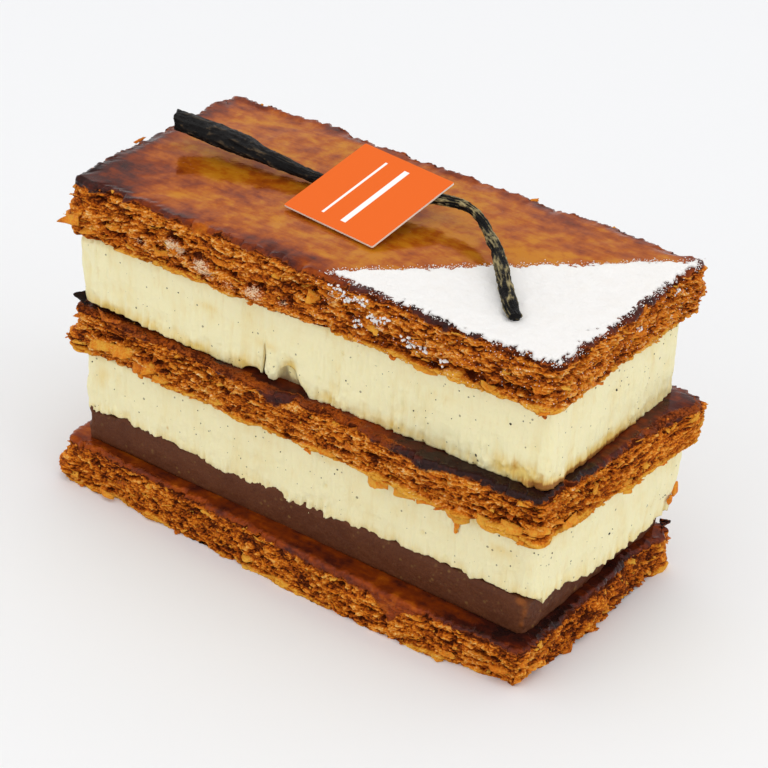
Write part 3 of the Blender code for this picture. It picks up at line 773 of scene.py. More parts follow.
# Stains from the pastry, as places, strengths and reaches for dent.
UPPER_STAINS = {
    "stained": (
        (-45.9, -22.4, 40.6, 0.8, 3.2, 1.4), (-36, -22.4, 40.4, 0.4, 4, 1),
        (-24.9, -22.4, 40.2, 0.7, 3.4, 1.3), (-14, -22.4, 41, 0.8, 2.4, 1.6),
        (-8, -22.4, 46.6, 0.5, 2.4, 0.9), (6, -22.4, 41, 0.5, 3, 1.2), (22, -22.4, 40.8, 0.4, 5, 1),
        (44, -22.4, 42.5, 0.7, 2.4, 1.8), (-22, -22.4, 49.6, 0.4, 2, 0.8), (53, -6, 41.6, 0.8, 14, 1.3),
        (48, -22.4, 42.6, 0.9, 3.4, 2.2)),
    "scorched": (
        (52.9, -21.8, 40.5, 1.3, 1.9, 1), (53, -18, 40.4, 1.5, 3, 0.9), (53, -12.5, 40.4, 1.6, 3.4, 0.9),
        (53, -6.5, 40.3, 1.4, 3.8, 0.9), (53, 0.5, 40.3, 1.2, 4, 0.8), (53, 7.5, 40.2, 0.8, 4, 0.6),
        (50.6, -22.4, 40.8, 1, 1.4, 1.2), (48, -22.4, 40.8, 0.8, 1.6, 1),
        (46.2, -22.4, 43.2, 0.7, 0.8, 1.8), (51.8, -22.4, 42.8, 0.7, 0.7, 1.3)),
}
LOWER_STAINS = {
    "stained": (
        (-48, -22.4, 24.6, 0.5, 1.4, 2.4), (-30, -22.4, 29, 0.5, 4, 0.9), (20, -22.4, 28.4, 0.5, 4, 1),
        (40, -22.4, 28.8, 0.6, 5, 1.2), (52.8, -20, 29.4, 0.7, 3, 1.4), (53, -14, 29.6, 0.6, 4, 1.2),
        (45, -22.4, 25, 0.5, 2.4, 1.2), (7, -22.4, 27.8, 0.4, 2, 0.8)),
    "scorched": (
        (-31.7, -22.4, 19.5, 0.55, 0.5, 0.5),),
}
PRALINE_STAINS = {
    "stained": (
        (49.9, -22.7, 16.2, 0.8, 1.3, 0.8), (51.4, -22.7, 13.6, 0.8, 1, 2.2),
        (50.8, -22.7, 11.2, 0.6, 0.8, 1), (51.4, -16, 14.6, 0.25, 6, 1.2)),
}


def level_edge(plan):
    """An edge that keeps to its joint."""
    return np.zeros(len(plan))


def on_front(plan):
    """1 along the front of the slice and 0 on its other sides."""
    return (plan[:, 1] < -20.0 * MM).astype(float)


def on_right(plan):
    """Whether each place lies towards the right end of the slice."""
    return plan[:, 0] > 45.0 * MM


def hump(value, middle, reach):
    """The exponent of a smooth hump with its top at a middle and a reach to either side."""
    return -((value - middle) / reach) ** 2


def upper_cream_lift(plan):
    """The lower edge of the upper cream, torn open near the middle of the front."""
    tear = graded(plan[:, 0] / MM, UPPER_TEAR) * MM * on_front(plan)
    teeth = uneven(plan, 0.40, 1.5, 210)
    return tear + teeth * (0.6 + 0.6 * swells(plan, 9.0 * MM, 211))


def lower_cream_lift(plan):
    """The scalloped lower edge of the lower cream, dragged over the praline."""
    front = graded(plan[:, 0] / MM, LOWER_EDGE) * MM * on_front(plan)
    right = on_right(plan) * ease(plan[:, 1], -21.0 * MM, -15.0 * MM)
    side = -1.6 * MM * ease(plan[:, 1], -18.0 * MM, 0.0) * on_right(plan)
    side = side + right * 0.7 * MM * rough(plan, 2.4 * MM, 222)
    scallops = uneven(plan, 0.50, 2.8, 220) + uneven(plan, 0.30, 0.9, 221)
    return front + side + scallops


def drag_marks(sizes, seed):
    """Relief of a cream's side: marks of the knife, smears and small pits."""
    def relief(ring, share):
        stretched = ring * np.array((1.0, 1.0, 0.1))
        fine = rough(stretched, 0.75 * MM, seed)
        broad = rough(stretched, 3.2 * MM, seed + 1)
        smears = rough(ring, (5.0 * MM, 5.0 * MM, 3.0 * MM), seed + 2)
        lumps = rough(ring, (0.9 * MM, 0.9 * MM, 1.3 * MM), seed + 3)
        foot = ease(0.45 - share, 0.0, 0.45)
        away, beyond, number, lean = pebbles(ring, 4.2 * MM, seed + 4)
        pit = ease(0.17 - away, 0.0, 0.14) * (number > 0.72)
        patch = ease(swells(ring, 7.0 * MM, seed + 5), 0.0, 0.7)
        strength = 0.30 + 0.8 * foot + 0.9 * patch
        offset = sizes.drag_relief * (strength * fine + 1.0 * broad + 1.0 * smears)
        offset += sizes.drag_relief * 1.1 * foot * (0.4 + patch) * lumps - 0.5 * MM * pit
        return offset - 0.35 * MM * ease(share, 0.9, 1.0)
    return relief


def upper_cream_relief(sizes):
    """The upper cream's side, with the lump that hangs in its tear."""
    marks = drag_marks(sizes, 310)

    def relief(ring, share):
        offset = marks(ring, share)
        x = ring[:, 0] / MM
        z = ring[:, 2] / MM
        front = on_front(ring)
        lump = np.exp(hump(x, -6.6, 1.5) + hump(z, 42.6, 2.4))
        crack = np.exp(hump(x, -8.7, 0.28)) * ease(47.0 - z, 0.0, 2.0)
        hole = np.exp(hump(x, -3.0, 2.0)) * ease(46.5 - z, 0.0, 4.0)
        crumbly = np.exp(hump(x, -6.0, 3.4) + hump(z, 43.5, 3.4))
        crumbly = crumbly * rough(ring, 0.9 * MM, 340) * 0.5
        # The burnt corner is pitted.
        corner = np.exp(hump(x, 49.0, 4.0) + hump(z, 42.6, 1.6))
        pitted = corner * (rough(ring, 1.2 * MM, 341) * 0.7 - 0.2)
        return offset + front * MM * (0.9 * lump - 1.3 * crack - 1.0 * hole + crumbly + pitted)
    return relief


# The upper edge of the praline's front: X and how far it rises.
PRALINE_CREST = (
    (-60, 2), (-51.5, 2.2), (-50, 0.4), (-45, 0.3), (-43.6, 1.9), (-42.2, 1.2), (-40, 1.7), (-39.2, 0.6),
    (-34, 1.1), (-30, 0.2), (-8, 0), (-6, 1.4), (-4.2, 1.7), (-3, 0.3), (2, 0.1), (8.6, 0.3), (10, 1.1),
    (12.2, 0.5), (30, 0.6), (60, 0.6))


def praline_crest(plan):
    """The upper edge of the praline, with bits that stick to the cream above."""
    front = graded(plan[:, 0] / MM, PRALINE_CREST) * MM * on_front(plan)
    right = on_right(plan) * (1.0 - on_front(plan))
    bits = np.clip(rough(plan, 1.3 * MM, 231) - 0.15, 0.0, 1.0)
    return (front + uneven(plan, 0.3, 1.5, 230) + 0.6 * MM * bits
            + right * 0.8 * MM * rough(plan, 2.2 * MM, 232))


def praline_relief(ring, share):
    """The praline's cut side: smooth and a little lumpy, rougher on the ends."""
    ends = (np.abs(ring[:, 0]) > 50.0 * MM).astype(float)
    offset = uneven(ring, 0.16, 3.5, 330) + uneven(ring, 0.09, 0.9, 331)
    offset += ends * 0.50 * MM * rough(ring, 2.0 * MM, 332)
    return offset - 0.5 * MM * ease(share, 0.85, 1.0)


# ---------------------------------------------------------------- shader maths in Python

class Wire:
    """A node's output that takes part in Python expressions, each of which adds its nodes."""

    def __init__(self, recipe, socket):
        self.recipe = recipe
        self.socket = socket

    def maths(self, operation, *values):
        """A Math node on this value and others."""
        return self.recipe.node("ShaderNodeMath", {"operation": operation},
                                dict(enumerate((self, *values))))

    def __add__(self, other):
        return self.maths("ADD", other)

    def __sub__(self, other):
        return self.maths("SUBTRACT", other)

    def __rsub__(self, other):
        return self.maths("MULTIPLY_ADD", -1.0, other)

    def __mul__(self, other):
        return self.maths("MULTIPLY", other)

    __radd__ = __add__
    __rmul__ = __mul__

    def clamped(self):
        """This value kept between 0 and 1."""
        return self.recipe.node("ShaderNodeClamp", {}, {0: self})

    def between(self, low, high):
        """A smooth step of this value from 0 at low to 1 at high."""
        return self.recipe.node("ShaderNodeMapRange", {"interpolation_type": "SMOOTHSTEP"},
                                {0: self, 1: low, 2: high})


class Recipe:
    """A finish in the making: a Principled material and the nodes that feed it."""

    def __init__(self, name, **constants):
        self.material = bpy.data.materials.new(name)
        self.material.use_nodes = True
        self.tree = self.material.node_tree
        self.skin = self.tree.nodes["Principled BSDF"]
        for socket, value in constants.items():
            self.skin.inputs[socket.replace("_", " ")].default_value = value
        self.place = self.node("ShaderNodeTexCoord", {}, {}, "Object")

    def node(self, kind, settings, inputs, output=0):
        """Add a node: its settings first, then its inputs as values or wires; give an output."""
        node = self.tree.nodes.new(kind)
        for setting, value in settings.items():
            if setting == "stops":
                ramp = node.color_ramp
                while len(ramp.elements) < len(value):
                    ramp.elements.new(1.0)
                for element, (position, colour) in zip(ramp.elements, value):
                    element.position = position
                    element.color = (*colour, 1.0)
            else:
                setattr(node, setting, value)
        for key, value in inputs.items():
            self.join(value, node.inputs[key])
        return Wire(self, node.outputs[output])

    def join(self, value, socket):
        """Put a value or a wire into a socket."""
        if isinstance(value, Wire):
            self.tree.links.new(value.socket, socket)
        elif socket.type == "RGBA":
            socket.default_value = (*tuple(value)[:3], 1.0)
        else:
            socket.default_value = value

    def feed(self, **inputs):
        """Feed the Principled node."""
        for socket, value in inputs.items():
            self.join(value, self.skin.inputs[socket.replace("_", " ")])

    def mark(self, name):
        """A mark that the mesh carries."""
        return self.node("ShaderNodeAttribute", {"attribute_name": name}, {}, "Fac")

    def stretched(self, x, y, z):
        """The place on the piece with each axis scaled, so that a pattern is drawn out along it."""
        return self.node("ShaderNodeMapping", {}, {"Vector": self.place, "Scale": (x, y, z)})

    def grain(self, size, detail=2.0, roughness=0.55, place=None, warp=0.0):
        """Noise with grain about as large as size."""
        return self.node("ShaderNodeTexNoise", {},
                         {"Vector": place or self.place, "Scale": 1.0 / size, "Detail": detail,
                          "Roughness": roughness, "Distortion": warp}, "Fac")

    def spots(self, size, place=None):
        """The distance to scattered points about that far apart."""
        return self.node("ShaderNodeTexVoronoi", {},
                         {"Vector": place or self.place, "Scale": 1.0 / size}, "Distance")

    def blend(self, share, first, second):
        """A mix of two colours."""
        return self.node("ShaderNodeMix", {"data_type": "RGBA"}, {0: share, 6: first, 7: second}, 2)

    def ramp(self, value, stops):
        """A colour for each value."""
        return self.node("ShaderNodeValToRGB", {"stops": stops}, {0: value})

    def bump(self, height, distance, strength=1.0):
        """Relief in the shading, with heights in shares of a distance."""
        return self.node("ShaderNodeBump", {},
                         {"Height": height, "Distance": distance, "Strength": strength})


def crust_finish(name, colours):
    """Baked puff pastry with the caramel glaze that covers its top and runs down its side."""
    recipe = Recipe(name, Subsurface_Weight=0.05, Subsurface_Scale=0.0012, IOR=1.5,
                    Subsurface_Radius=(1.0, 0.45, 0.15), Specular_IOR_Level=0.05,
                    Coat_Roughness=0.05)
    # The mark read here darkens the tone in the recesses of the side and on the underside: painted shade.
    hollow = recipe.mark("hollow")
    skin = recipe.mark("skin")
    flat = recipe.stretched(1.0, 1.0, 1.8)
    fine = recipe.grain(0.42 * MM, 3.0, 0.7, flat)
    # The tone is darker at the edges of these chips, where the relief sinks between them: painted shade.
    chips = recipe.spots(0.62 * MM, flat)
    broad = recipe.grain(4.0 * MM, 3.0, 0.6, flat)
    browned = recipe.mark("browned")
    pale = recipe.mark("pale")
    tone = (0.55 + (fine - 0.5) * 1.05 + (broad - 0.5) * 0.7 + (recipe.mark("leaf") - 0.45) * 1.0
            + (0.42 - chips) * 0.45 - hollow * 0.45 + pale.maths("MINIMUM", 0.0) * 0.26)
    crust = recipe.ramp(tone, [(0.02, colours.crust_deep_and_shade), (0.33, colours.crust_brown),
                               (0.60, colours.crust_amber), (0.98, colours.crust_gold)])
    golden = recipe.ramp(tone + skin * 0.1, [(0.10, colours.crust_brown), (0.36, colours.skin_amber),
                                             (0.70, colours.skin_gold)])
    crust = recipe.blend((skin + (broad - 0.5) * 1.2).between(0.35, 0.9) * 0.9, crust, golden)
    pale = pale + (fine - 0.5) * 1.3 + (tone - 0.5) * 0.5
    crust = recipe.blend(pale.between(0.20, 0.60) * 0.95, crust,
                         recipe.blend(fine.between(0.35, 0.65), (0.62, 0.33, 0.15),
                                      (0.88, 0.70, 0.48)))
    # The glaze: golden where thin, red and then purple towards its rim, and burnt in places.
    cloud = recipe.grain(11.0 * MM, 4.0, 0.6, recipe.stretched(0.7, 1.0, 1.0), 0.4)
    streak = recipe.grain(1.3 * MM, 3.0, 0.6, recipe.stretched(0.22, 1.0, 1.0))
    mottle = recipe.grain(2.6 * MM, 3.0, 0.6)
    heat = browned + (cloud - 0.5) * 0.95 + (mottle - 0.5) * 0.70 + (streak - 0.5) * 0.40
    caramel = recipe.ramp(heat, [(0.06, colours.glaze_gold), (0.26, colours.glaze_amber),
                                 (0.48, colours.glaze_red), (0.74, colours.glaze_purple),
                                 (0.98, colours.glaze_burnt)])
    cover = (recipe.mark("glazed") + (fine - 0.5) * 0.9 + (0.35 - chips) * 0.3).between(0.30, 0.85)
    colour = recipe.blend(cover, crust, caramel)
    relief = ((fine * 0.8 - chips * 0.7 + recipe.grain(0.2 * MM, 2.0, 0.6) * 0.25)
              * (1.0 - cover * 0.95) + cover * mottle * 0.30)
    gloss = 0.01 + cover * (0.11 + (cloud - 0.5) * 0.4 + heat.between(0.45, 0.9) * 0.06)
    recipe.feed(Base_Color=colour, Roughness=0.66 - cover * 0.52 - (fine - 0.5) * 0.25,
                Metallic=cover * 0.34, Coat_Weight=gloss,
                Normal=recipe.bump(relief, 0.21 * MM, 0.9))
    return recipe.material


def cream_finish(name, colours):
    """Vanilla cream, with tiny dark flecks, stained by the pastry along its edges, and with painted shade
    under the pastry above it and in the recesses of its knife marks.
    """
    recipe = Recipe(name, Subsurface_Weight=0.15, Subsurface_Scale=0.0015, IOR=1.42,
                    Subsurface_Radius=(1.0, 0.85, 0.5), Specular_IOR_Level=0.35)
    rise = recipe.mark("rise")
    drawn = recipe.stretched(1.0, 1.0, 0.12)
    streak = recipe.grain(0.8 * MM, 4.0, 0.65, drawn)
    smear = recipe.grain(3.0 * MM, 4.0, 0.65, recipe.stretched(1.0, 1.0, 0.4))
    cloud = recipe.grain(8.0 * MM, 3.0, 0.55)
    # Yellower near the top and the bottom of each cream, partly stained by the pastry and partly painted
    # shade under the pastry above; yellower in the recesses of the knife marks, from the dip mark:
    # painted shade.
    edge = (rise - 0.5).maths("ABSOLUTE").between(0.30, 0.52)
    stain_and_shade = (edge * (0.20 + cloud * 0.4) + (streak - 0.5) * 0.8 * (0.40 + edge)
             + (smear - 0.5) * 0.75 + recipe.mark("stained") * (0.5 + streak)
             - recipe.mark("dip") * 0.55).clamped()
    colour = recipe.blend(stain_and_shade, colours.cream, colours.cream_stain_and_shade)
    scorched = recipe.mark("scorched") + (streak - 0.5) * 1.0 + (smear - 0.5) * 0.8
    colour = recipe.blend(scorched.between(0.12, 0.80) * 0.9, colour, (0.62, 0.33, 0.055))
    colour = recipe.blend(scorched.between(0.62, 1.05) * 0.8, colour, (0.26, 0.08, 0.012))
    fleck = recipe.spots(2.3 * MM)
    size = recipe.grain(3.1 * MM, 1.0)
    flecks = (size * 0.19 - fleck).between(0.0, 0.03) * 0.65
    colour = recipe.blend(flecks, colour, (0.05, 0.035, 0.012))
    relief = streak + smear * 0.7 + recipe.grain(0.35 * MM, 2.0) * 0.4
    recipe.feed(Base_Color=colour, Roughness=0.50 - (streak - 0.5) * 0.3,
                Normal=recipe.bump(relief, 0.34 * MM, 0.9))
    return recipe.material


def praline_finish(name, colours):
    """Dark nut paste with ground nut in it."""
    recipe = Recipe(name, IOR=1.45, Specular_IOR_Level=0.22)
    cloud = recipe.grain(5.0 * MM, 4.0, 0.6)
    fine = recipe.grain(0.45 * MM, 3.0, 0.65)
    nut = (0.36 - recipe.spots(1.3 * MM)).between(0.0, 0.2) * recipe.grain(2.0 * MM).between(0.45, 0.7)
    base = recipe.blend((cloud - 0.25) * 1.2 + (fine - 0.5) * 1.6, colours.praline,
                        (0.140, 0.044, 0.015))
    colour = recipe.blend(nut * 0.6, base, (0.230, 0.120, 0.035))
    smear = (recipe.mark("stained") + (cloud - 0.5) * 0.6).between(0.2, 0.8) * 0.7
    colour = recipe.blend(smear, colour, (0.300, 0.085, 0.012))
    recipe.feed(Base_Color=colour, Roughness=0.55 + (fine - 0.5) * 0.3,
                Normal=recipe.bump(fine + cloud * 0.4, 0.22 * MM, 0.8))
    return recipe.material


def pod_finish(name, colours):
    """A dried pod: nearly black, with a greyer mottle, lighter crests on its ridges as a painted
    highlight, and an olive stalk.
    """
    recipe = Recipe(name, IOR=1.5, Specular_IOR_Level=0.10)
    ridge = recipe.mark("ridge")
    stalk = recipe.mark("stalk")
    fine = recipe.grain(0.35 * MM, 4.0, 0.7)
    cloud = recipe.grain(2.4 * MM, 3.0, 0.6)
    # Lighter on the crests of the ridges, a painted highlight; the mottle and the olive stalk are the
    # pod's own colour.
    tone_and_crest_highlight = ((ridge - 0.66) * 2.0 + (cloud - 0.56) * 1.3 + (fine - 0.5) * 1.4 + stalk * 0.36)
    colour = recipe.blend(tone_and_crest_highlight.clamped(), colours.pod,
                          recipe.blend(stalk, (0.150, 0.098, 0.050), (0.500, 0.400, 0.190)))
    recipe.feed(Base_Color=colour, Roughness=0.40 + (fine - 0.5) * 0.5,
                Normal=recipe.bump(fine, 0.40 * MM, 0.9))
    return recipe.material


def print_finish(name, colours):
    """Matt print on paper with two plain white bars."""
    recipe = Recipe(name, IOR=1.45, Specular_IOR_Level=0.2)
    fibre = recipe.grain(0.25 * MM, 3.0, 0.6)
    across = recipe.mark("across")
    along = recipe.mark("along")
    middle = (BAR_ENDS[0] + BAR_ENDS[1]) / 2.0
    inside = (BAR_ENDS[1] - middle) - (along - middle).maths("ABSOLUTE")
    bars = 0.0
    for place, half_width in CARD_BARS:
        bar = (half_width - (across - place).maths("ABSOLUTE")).maths("MINIMUM", inside)
        bars = bar.between(-0.04 * MM, 0.04 * MM) + bars
    ink = recipe.blend((fibre - 0.3) * 0.2, colours.card, (0.90, 0.18, 0.03))
    recipe.feed(Base_Color=recipe.blend(bars, ink, (0.95, 0.93, 0.90)),
                Roughness=0.62 + (fibre - 0.5) * 0.2, Normal=recipe.bump(fibre, 0.03 * MM, 0.5))
    return recipe.material


def paper_finish(name, colours):
    """Bare paper at the card's edges and under it."""
    recipe = Recipe(name, IOR=1.45)
    fibre = recipe.grain(0.25 * MM, 3.0, 0.6)
    recipe.feed(Base_Color=recipe.blend(fibre * 0.4, colours.paper, (0.95, 0.90, 0.84)),
                Roughness=0.8 + (fibre - 0.5) * 0.1, Normal=recipe.bump(fibre, 0.03 * MM, 0.5))
    return recipe.material


def sugar_finish(name, colours):
    """Icing sugar."""
    recipe = Recipe(name, Subsurface_Weight=0.15, Subsurface_Scale=0.0006, IOR=1.5,
                    Subsurface_Radius=(1.0, 0.95, 0.9))
    fine = recipe.grain(0.6 * MM, 4.0, 0.7)
    cloud = recipe.grain(3.0 * MM, 2.0)
    colour = recipe.blend((cloud - 0.45).clamped() * 0.6, colours.sugar, (0.84, 0.78, 0.70))
    recipe.feed(Base_Color=colour, Roughness=0.8 + (fine - 0.5) * 0.2,
                Normal=recipe.bump(fine, 0.30 * MM, 0.9))
    return recipe.material


def seed_finish(name):
    """Vanilla seeds and specks of pod."""
    recipe = Recipe(name, IOR=1.5, Specular_IOR_Level=0.1)
    tone = recipe.grain(4.0 * MM, 2.0)
    recipe.feed(Base_Color=recipe.blend(tone.between(0.4, 0.7), (0.012, 0.010, 0.008),
                                        (0.06, 0.045, 0.025)), Roughness=0.4 + tone * 0.2)
    return recipe.material


def flake_finish(name, colours):
    """Thin flakes and crumbs, from burnt to pale, a little see-through at their edges."""
    recipe = Recipe(name, Subsurface_Weight=0.10, Subsurface_Scale=0.0010, IOR=1.5,
                    Subsurface_Radius=(1.0, 0.5, 0.15), Specular_IOR_Level=0.12)
    fine = recipe.grain(0.42 * MM, 3.0, 0.7)
    cloud = recipe.grain(2.2 * MM, 3.0, 0.6)
    tone = recipe.mark("tone") + (cloud - 0.5) * 0.9 + (fine - 0.5) * 1.1
    colour = recipe.ramp(tone, [(0.02, (0.012, 0.006, 0.005)), (0.24, colours.crust_brown),
                                (0.62, colours.crust_amber), (1.0, colours.skin_gold)])
    recipe.feed(Base_Color=colour, Roughness=0.50 + (fine - 0.5) * 0.3,
                Normal=recipe.bump(fine, 0.3 * MM, 0.9))
    return recipe.material


def floor_finish(name, colour):
    """A matt studio sweep."""
    recipe = Recipe(name)
    haze = recipe.grain(0.6, 2.0)
    recipe.feed(Base_Color=recipe.blend(haze * 0.06, colour, (0.86, 0.87, 0.88)),
                Roughness=0.75 + haze * 0.1)
    return recipe.material


# ---------------------------------------------------------------- toppings and crumbs

# Where the icing sugar lies, in mm: its straight edge from the front to the back of the slice, the
# box that it is drawn in and the cells of its grid.
SUGAR_EDGE = ((7.3, -20.5), (53.3, 23.6))
SUGAR_BOX = ((6.0, -25.6), (55.6, 24.4))
SUGAR_CELL = 0.24


def sugar_cover(places):
    """How well the sugar covers each place: above 0 inside its ragged border, in metres."""
    (x0, y0), (x1, y1) = SUGAR_EDGE
    across = Vector((y1 - y0, x0 - x1)).normalized()
    behind = (places[..., 0] / MM - x0) * across.x + (places[..., 1] / MM - y0) * across.y
    behind = behind + 0.9 * rough(places, 3.5 * MM, 401) + 0.5 * rough(places, 0.8 * MM, 402)
    front = places[..., 1] / MM + 24.3 - 1.1 * ease(35.0 - places[..., 0] / MM, 0.0, 24.0)
    front = front + 1.0 * rough(places, 1.6 * MM, 403) + 0.4 * swells(places, 0.5 * MM, 404)
    right = 53.9 - places[..., 0] / MM
    right = right + 1.0 * rough(places, 1.8 * MM, 405) + 0.4 * swells(places, 0.5 * MM, 406)
    return np.minimum(np.minimum(behind, front), right) * MM


def glaze_height(places):
    """The height of the glaze over a place on the top slab."""
    return GLAZE_JOINT[0] + glaze_swells(places)


def sugar_mesh(sizes):
    """A sheet of powder with a ragged border, thinning out to nothing there."""
    (x0, y0), (x1, y1) = SUGAR_BOX
    bm = bmesh.new()
    bmesh.ops.create_grid(bm, x_segments=round((x1 - x0) / SUGAR_CELL),
                          y_segments=round((y1 - y0) / SUGAR_CELL), size=0.5)
    place = (Matrix.Translation(((x0 + x1) / 2.0 * MM, (y0 + y1) / 2.0 * MM, 0.0))
             @ Matrix.Diagonal(((x1 - x0) * MM, (y1 - y0) * MM, 1.0, 1.0)))
    bmesh.ops.transform(bm, matrix=place, verts=bm.verts)
    places = np.array([vert.co for vert in bm.verts])
    cover = sugar_cover(places)
    holes = 0.5 + 0.5 * rough(places, 0.7 * MM, 410)
    thin = cover < 2.2 * MM * holes ** 4
    bmesh.ops.delete(bm, geom=[vert for vert, bare in zip(bm.verts, thin) if bare],
                     context="VERTS")
    loose = [vert for vert in bm.verts if not vert.link_faces]
    bmesh.ops.delete(bm, geom=loose, context="VERTS")
    places = np.array([vert.co for vert in bm.verts])
    cover = sugar_cover(places)
    lumps = 0.6 + 0.35 * rough(places, 1.4 * MM, 411) + 0.25 * rough(places, 5.0 * MM, 412)
    depth = sizes.sugar_depth * lumps * (0.15 + 0.85 * ease(cover, 0.0, 1.6 * MM))
    level = glaze_height(places)
    for vert, base, rise in zip(bm.verts, level, depth):
        vert.co.z = base + max(rise, 0.06 * MM)
    extruded = bmesh.ops.extrude_face_region(bm, geom=bm.faces[:], use_keep_orig=True)
    under = [item for item in extruded["geom"] if isinstance(item, bmesh.types.BMVert)]
    for vert in under:
        vert.co.z = GLAZE_JOINT[0] - 0.35 * MM
    return close_mesh(bpy.data.meshes.new("icing_sugar"), bm)


def fixed_count(name, bm, count):
    """A mesh of exactly so many copies of what a bmesh holds, and the points of each."""
    corners = len(bm.verts)
    made = 1
    while made < count:
        bmesh.ops.duplicate(bm, geom=bm.verts[:] + bm.edges[:] + bm.faces[:])
        made *= 2
    surplus = [vert for vert in bm.verts if vert.index >= corners * count]
    bmesh.ops.delete(bm, geom=surplus, context="VERTS")
    mesh = mesh_of(name, bm)
    return mesh, points_of(mesh).reshape(count, corners, 3)


def turned_axes(normals, chance):
    """Three axes for each normal: two at a random turn about it, and the normal itself."""
    up = normals / np.maximum(np.linalg.norm(normals, axis=1), 1e-9)[:, None]
    helper = np.where(np.abs(up[:, :1]) < 0.7, (1.0, 0.0, 0.0), (0.0, 1.0, 0.0))
    first = unit(np.cross(up, helper))
    second = np.cross(up, first)
    spin = chance.uniform(0.0, math.tau, len(normals))[:, None]
    return (first * np.cos(spin) + second * np.sin(spin),
            second * np.cos(spin) - first * np.sin(spin), up)


def strew(name, places, normals, half_sizes, seed, jitter=0.3, tones=None):
    """One mesh of many small lumps, one at each place, with its half sizes about its normal."""
    chance = np.random.default_rng(seed)
    bm = bmesh.new()
    bmesh.ops.create_icosphere(bm, subdivisions=1, radius=1.0)
    mesh, lumps = fixed_count(name, bm, len(places))
    corners = lumps.shape[1]
    lumps = lumps * (1.0 + chance.uniform(-jitter, jitter, (len(places), corners, 1)))
    lumps = lumps * np.asarray(half_sizes)[:, None]
    first, second, up = turned_axes(np.asarray(normals), chance)
    lumps = (np.asarray(places)[:, None] + lumps[..., :1] * first[:, None]
             + lumps[..., 1:2] * second[:, None] + lumps[..., 2:] * up[:, None])
    mesh.vertices.foreach_set("co", lumps.ravel())
    if tones is not None:
        set_mark(mesh, "tone", np.repeat(tones, corners))
    mesh.shade_smooth()
    return mesh


def surface_of(name, mark):
    """The points and normals of a finished piece, in the drawing's own place, and a mark."""
    mesh = bpy.data.objects[name].data
    normals = np.empty(3 * len(mesh.vertices))
    mesh.vertices.foreach_get("normal", normals)
    values = np.empty(len(mesh.vertices))
    mesh.attributes[mark].data.foreach_get("value", values)
    return points_of(mesh) - np.array(DRAWING_ORIGIN), normals.reshape(-1, 3), values


def sideways(out):
    """Level directions along the side that others point out of."""
    return np.column_stack((-out[:, 1], out[:, 0], out[:, 2]))


def headings(degrees):
    """Level directions at the given angles from +X, and those along the side there."""
    turn = np.radians(degrees)
    out = np.column_stack((np.cos(turn), np.sin(turn), 0.0 * turn))
    return out, sideways(out)


BAKED_PIECES = ("baked_bottom", "baked_middle", "baked_top")


def thicken(mesh, thickness, tones):
    """Give each sheet of a mesh its tone, a thickness and smooth shading."""
    set_mark(mesh, "tone", tones)
    bm = bmesh.new()
    bm.from_mesh(mesh)
    bmesh.ops.solidify(bm, geom=bm.faces[:], thickness=thickness)
    return close_mesh(mesh, bm)


def flake_mesh(sizes):
    """Thin bent flakes that stand off the pastry's sides."""
    chance = np.random.default_rng(71)
    homes = []
    for name, share in zip(BAKED_PIECES, (0.24, 0.34, 0.42)):
        places, normals, glazed = surface_of(name, "glazed")
        side = np.flatnonzero((glazed < 0.4) & (np.abs(normals[:, 2]) < 0.6))
        chosen = chance.choice(side, int(sizes.flake_count * share))
        homes.append(np.concatenate((places[chosen], normals[chosen]), axis=1))
    homes = np.vstack(homes)
    count = len(homes)
    bm = bmesh.new()
    bmesh.ops.create_grid(bm, x_segments=4, y_segments=2, size=0.5)
    mesh, flat = fixed_count("loose_flakes", bm, count)
    u, v = flat[..., 0], flat[..., 1]
    corners = flat.shape[1]
    out = unit(homes[:, 3:] * (1.0, 1.0, 0.0))
    along = sideways(out)
    length = chance.uniform(0.6, 2.4, (count, 1)) * MM
    width = chance.uniform(0.4, 1.1, (count, 1)) * MM
    droop = chance.uniform(-0.7, 0.7, (count, 1))
    twist = chance.uniform(-0.5, 0.5, (count, 1))
    ragged = chance.uniform(0.65, 1.35, (count, corners))
    reach = (v + 0.2) * width * ragged * (1.0 - 1.2 * u * u)
    lift = -droop * (v + 0.5) * width + twist * u * length
    lift = lift + chance.uniform(-0.08, 0.08, (count, corners)) * MM
    shaped = (homes[:, None, :3] + along[:, None] * (u * length * ragged)[..., None]
              + out[:, None] * reach[..., None])
    shaped[..., 2] = np.maximum(shaped[..., 2] + lift, 0.15 * MM)
    mesh.vertices.foreach_set("co", shaped.ravel())
    tones = chance.uniform(0.30, 0.95, (count, 1)) + 0.1 * v
    return thicken(mesh, 0.09 * MM, tones)


